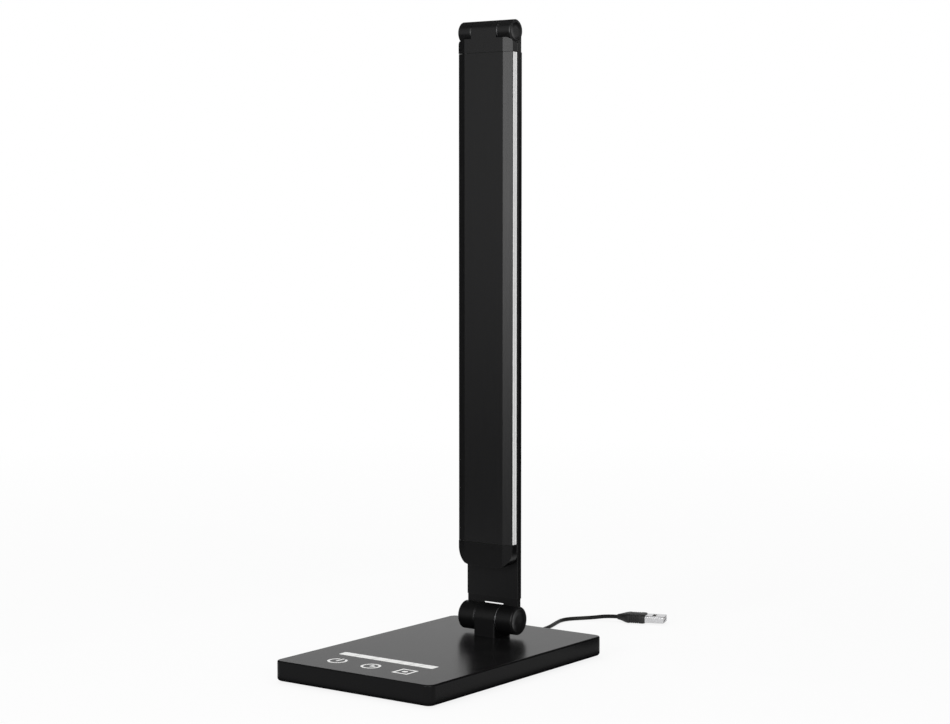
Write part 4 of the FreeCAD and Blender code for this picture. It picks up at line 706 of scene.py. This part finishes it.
# a bar with an eased front edge, and a thin strip on top of it for each contact
def makeTongue(spec, axes):
    start, end = spec["tongue"]
    wide, high = spec["tongueHalf"]
    run, narrow, lower = spec["tongueEase"]
    power = spec["tonguePower"]
    centre = np.array(spec["origin"]) + (0, 0, spec["tongueDrop"])
    rows = [(start, 0, 0, power), (start, wide, high, power), (end - run, wide, high, power),
            (end, wide - narrow, high - lower, power), (end, 0, 0, power)]
    bar = lofted(rows, spec["tongueSides"], centre, *axes)
    tongue = addPiece("plugTongue", ringMesh("plugTongue", bar), finishes["plugInsulator"], "base",
                      ["usb_plug_tongue"])
    first, last = spec["contactRun"]
    half, power = spec["contactHalf"], spec["contactPower"]
    rows = [(first, 0, 0, power), (first, *half, power), (last, *half, power), (last, 0, 0, power)]
    top = centre + (0, 0, high)
    strips = [lofted(rows, spec["contactSides"], top + shift * np.array(spec["aside"]), *axes)
              for shift in spec["contacts"]]
    contacts = addPiece("plugContacts", ringMesh("plugContacts", *strips), finishes["contactPlate"], "base")
    return [tongue, contacts]


plugAxes = (plugSpec["ahead"], plugSpec["aside"], plugSpec["above"])
boot = makeBoot(bootSpec)
makeFeet(footSpec)
makeScrews(screwForm, coverScrewSpec, armScrewSpec)
makeCaps(capForm, capSpec)
tie = makeTie(tieSpec)
plugPieces = [makeGrip(plugSpec, plugAxes), makeShell(plugSpec, plugAxes), *makeTongue(plugSpec, plugAxes)]
print("detail pieces built")

# the CAD nodes that keep their own shape, by finish
dressed = {
    "satinShell": ["base_top_shell"],
    # head_end_cap takes the darker matt moulding, not head_hinge_cap's finish: painted shade at the head's
    # lower end
    "mattMould": ["base_bottom_cover", "arm_lower_bracket", "hinge_post", "head_end_cap"],
    "headCapMould": ["head_hinge_cap", "arm_upper_bracket"],
    "headExtrusion": ["head_cover"],
    "armExtrusion": ["arm_tube"],
    "platedSteel": ["base_weight", "board_screws", "post_screws", "head_screws",
                    "lower_hinge_shaft", "lower_hinge_nut", "lower_friction_washers",
                    "upper_hinge_shaft", "upper_hinge_nut", "upper_friction_washers"],
    "cordJacket": ["supply_lead", "arm_lead"],
    "touchBoard": ["touch_board"],
    "ledBoard": ["led_board"],
    "thermalTape": ["thermal_tape"],
    "phosphor": ["leds"],
    "opalDiffuser": ["diffuser"],
    "lightWindow": ["power_icon", "timer_icon", "mode_icon"],
    "sliderWindow": ["brightness_bar"],
}
for finishName, nodeNames in dressed.items():
    for nodeName in nodeNames:
        slots = nodes[nodeName].data.materials
        slots.clear()
        slots.append(finishes[finishName])
cord.data.materials.append(finishes["cordJacket"])
print("finishes placed")


# four corners of a card that lies level, and of one that stands on the floor along a line
def levelCard(left, right, front, back, height):
    return [(left, front, height), (right, front, height), (right, back, height), (left, back, height)]


def standingCard(start, end, top):
    return [(*start, 0.0), (*end, 0.0), (*end, top), (*start, top)]


# studio: pale floor, white surround for what the camera and reflections see, softer light for the rest, and
# cards for the black faces to reflect
studio = {
    "floor": {"half": 30.0, "drop": 0.0002, "colour": (0.86, 0.86, 0.86), "rough": 0.9, "whiteShare": 0.86,
              "whiteRun": (0.35, 1.3), "glow": 1.0},
    "surround": {"soft": 0.5, "white": 1.0},
    "lights": {"keyLight": {"place": (-0.05, -1.9, 0.55), "size": (0.7, 0.9), "power": 16.5},
               "sideLight": {"place": (1.25, -0.92, 0.45), "size": (0.8, 0.8), "power": 7.0},
               "topLight": {"place": (-0.3, 0.2, 1.9), "size": (1.4, 1.4), "power": 14.0}},
    "lightAim": (0.0, 0.05, 0.2),
    "cards": {"darkCards": {"shade": 0.02, "glow": 0.0, "corners": [
                  standingCard((-1.0, -0.95), (-1.0, 0.35), 1.3),  # wall at the left
                  levelCard(-1.6, 1.0, -2.2, -0.22, 0.001),  # floor in front
                  levelCard(-1.6, -0.25, -0.22, 0.35, 0.001),  # floor at the left
                  standingCard((0.1, 0.97), (0.84, 0.43), 0.42),  # wall behind, at the right
                  levelCard(0.08, 0.84, 0.1, 0.9, 0.001),  # floor behind, at the right
                  # painted shadow: a dark sheet under the base stands in for its own shadow in reflections
                  levelCard(-0.068, 0.068, -0.098, 0.1, 0.0004),  # floor under the base
                  levelCard(-2.5, 1.5, -0.6, 2.0, 1.1)]},
              "brightCards": {"shade": 0.02, "glow": 4.0, "corners": [
                  standingCard((1.0, -1.5), (1.7, -0.55), 1.5)]}},
}


# 1 for camera, glossy and transmission rays, 0 for the rest
def seenRays(tree):
    rays = addNode(tree, "ShaderNodeLightPath")
    mirror = mathNode(tree, "MAXIMUM", rays.outputs["Is Glossy Ray"], rays.outputs["Is Transmission Ray"])
    return mathNode(tree, "MAXIMUM", rays.outputs["Is Camera Ray"], mirror)


def mixShader(tree, mask, first, second):
    node = addNode(tree, "ShaderNodeMixShader")
    for socket, source in zip(node.inputs, (mask, first, second)):
        join(tree, source, socket)
    return node.outputs[0]


# one quad for each four corners
def addStage(name, corners, material):
    places = np.array(corners).reshape(-1, 3)
    mesh = bpy.data.meshes.new(name)
    mesh.from_pydata(places.tolist(), [], np.arange(len(places)).reshape(-1, 4).tolist())
    mesh.materials.append(material)
    stage = bpy.data.objects.new(name, mesh)
    scene.collection.objects.link(stage)
    return stage


# a square sheet that keeps the lamp's shadow: to the seen rays a share of it glows white, more of it
# further out, and from below it is clear
def makeFloor(spec):
    half = spec["half"]
    material, tree, shader = newMaterial("floorPaper")
    shader.inputs["Base Color"].default_value = (*spec["colour"], 1.0)
    shader.inputs["Roughness"].default_value = spec["rough"]
    glow = addNode(tree, "ShaderNodeEmission")
    glow.inputs["Strength"].default_value = spec["glow"]
    place = addNode(tree, "ShaderNodeTexCoord")
    away = addNode(tree, "ShaderNodeVectorMath", operation="LENGTH")
    join(tree, place.outputs["Object"], away.inputs[0])
    share = spanValue(tree, away.outputs["Value"], spec["whiteShare"], 1.0, *spec["whiteRun"])
    white = mathNode(tree, "MULTIPLY", seenRays(tree), share)
    paper = mixShader(tree, white, shader.outputs[0], glow.outputs[0])
    side = addNode(tree, "ShaderNodeNewGeometry")
    clear = addNode(tree, "ShaderNodeBsdfTransparent")
    sheet = mixShader(tree, side.outputs["Backfacing"], paper, clear.outputs[0])
    join(tree, sheet, tree.nodes["Material Output"].inputs["Surface"])
    addStage("studioFloor", levelCard(-half, half, -half, half, -spec["drop"]), material)


# the cards show in reflections alone, and neither block nor colour the light
def makeCards(specs):
    for name, spec in specs.items():
        material, tree, shader = newMaterial(name)
        shader.inputs["Base Color"].default_value = (spec["shade"], spec["shade"], spec["shade"], 1.0)
        shader.inputs["Specular IOR Level"].default_value = 0.0
        shader.inputs["Emission Color"].default_value = (1.0, 1.0, 1.0, 1.0)
        shader.inputs["Emission Strength"].default_value = spec["glow"]
        cards = addStage(name, spec["corners"], material)
        cards.visible_camera = False
        cards.visible_diffuse = False
        cards.visible_transmission = False
        cards.visible_shadow = False


def makeSurround(spec):
    world = bpy.data.worlds.new("studioSurround")
    world.use_nodes = True
    scene.world = world
    tree = world.node_tree
    soft = tree.nodes["Background"]
    white = addNode(tree, "ShaderNodeBackground")
    for shader, strength in ((soft, spec["soft"]), (white, spec["white"])):
        shader.inputs["Color"].default_value = (1.0, 1.0, 1.0, 1.0)
        shader.inputs["Strength"].default_value = strength
    seen = mixShader(tree, seenRays(tree), soft.outputs[0], white.outputs[0])
    join(tree, seen, tree.nodes["World Output"].inputs["Surface"])


# a soft box tipped up from straight down by the angle of its aim, then turned about Z to face the target
def makeSoftBox(name, spec, target):
    light = bpy.data.lights.new(name, "AREA")
    light.shape = "RECTANGLE"
    light.size, light.size_y = spec["size"]
    light.energy = spec["power"]
    box = bpy.data.objects.new(name, light)
    x, y, z = np.array(target) - np.array(spec["place"])
    box.location = spec["place"]
    box.rotation_euler = (math.atan2(math.hypot(x, y), -z), 0, math.atan2(y, x) - math.pi / 2)
    box.visible_camera = False
    scene.collection.objects.link(box)


makeFloor(studio["floor"])
makeCards(studio["cards"])
makeSurround(studio["surround"])
for lightName, lightSpec in studio["lights"].items():
    makeSoftBox(lightName, lightSpec, studio["lightAim"])
scene.view_settings.view_transform = "Standard"
print("studio set")
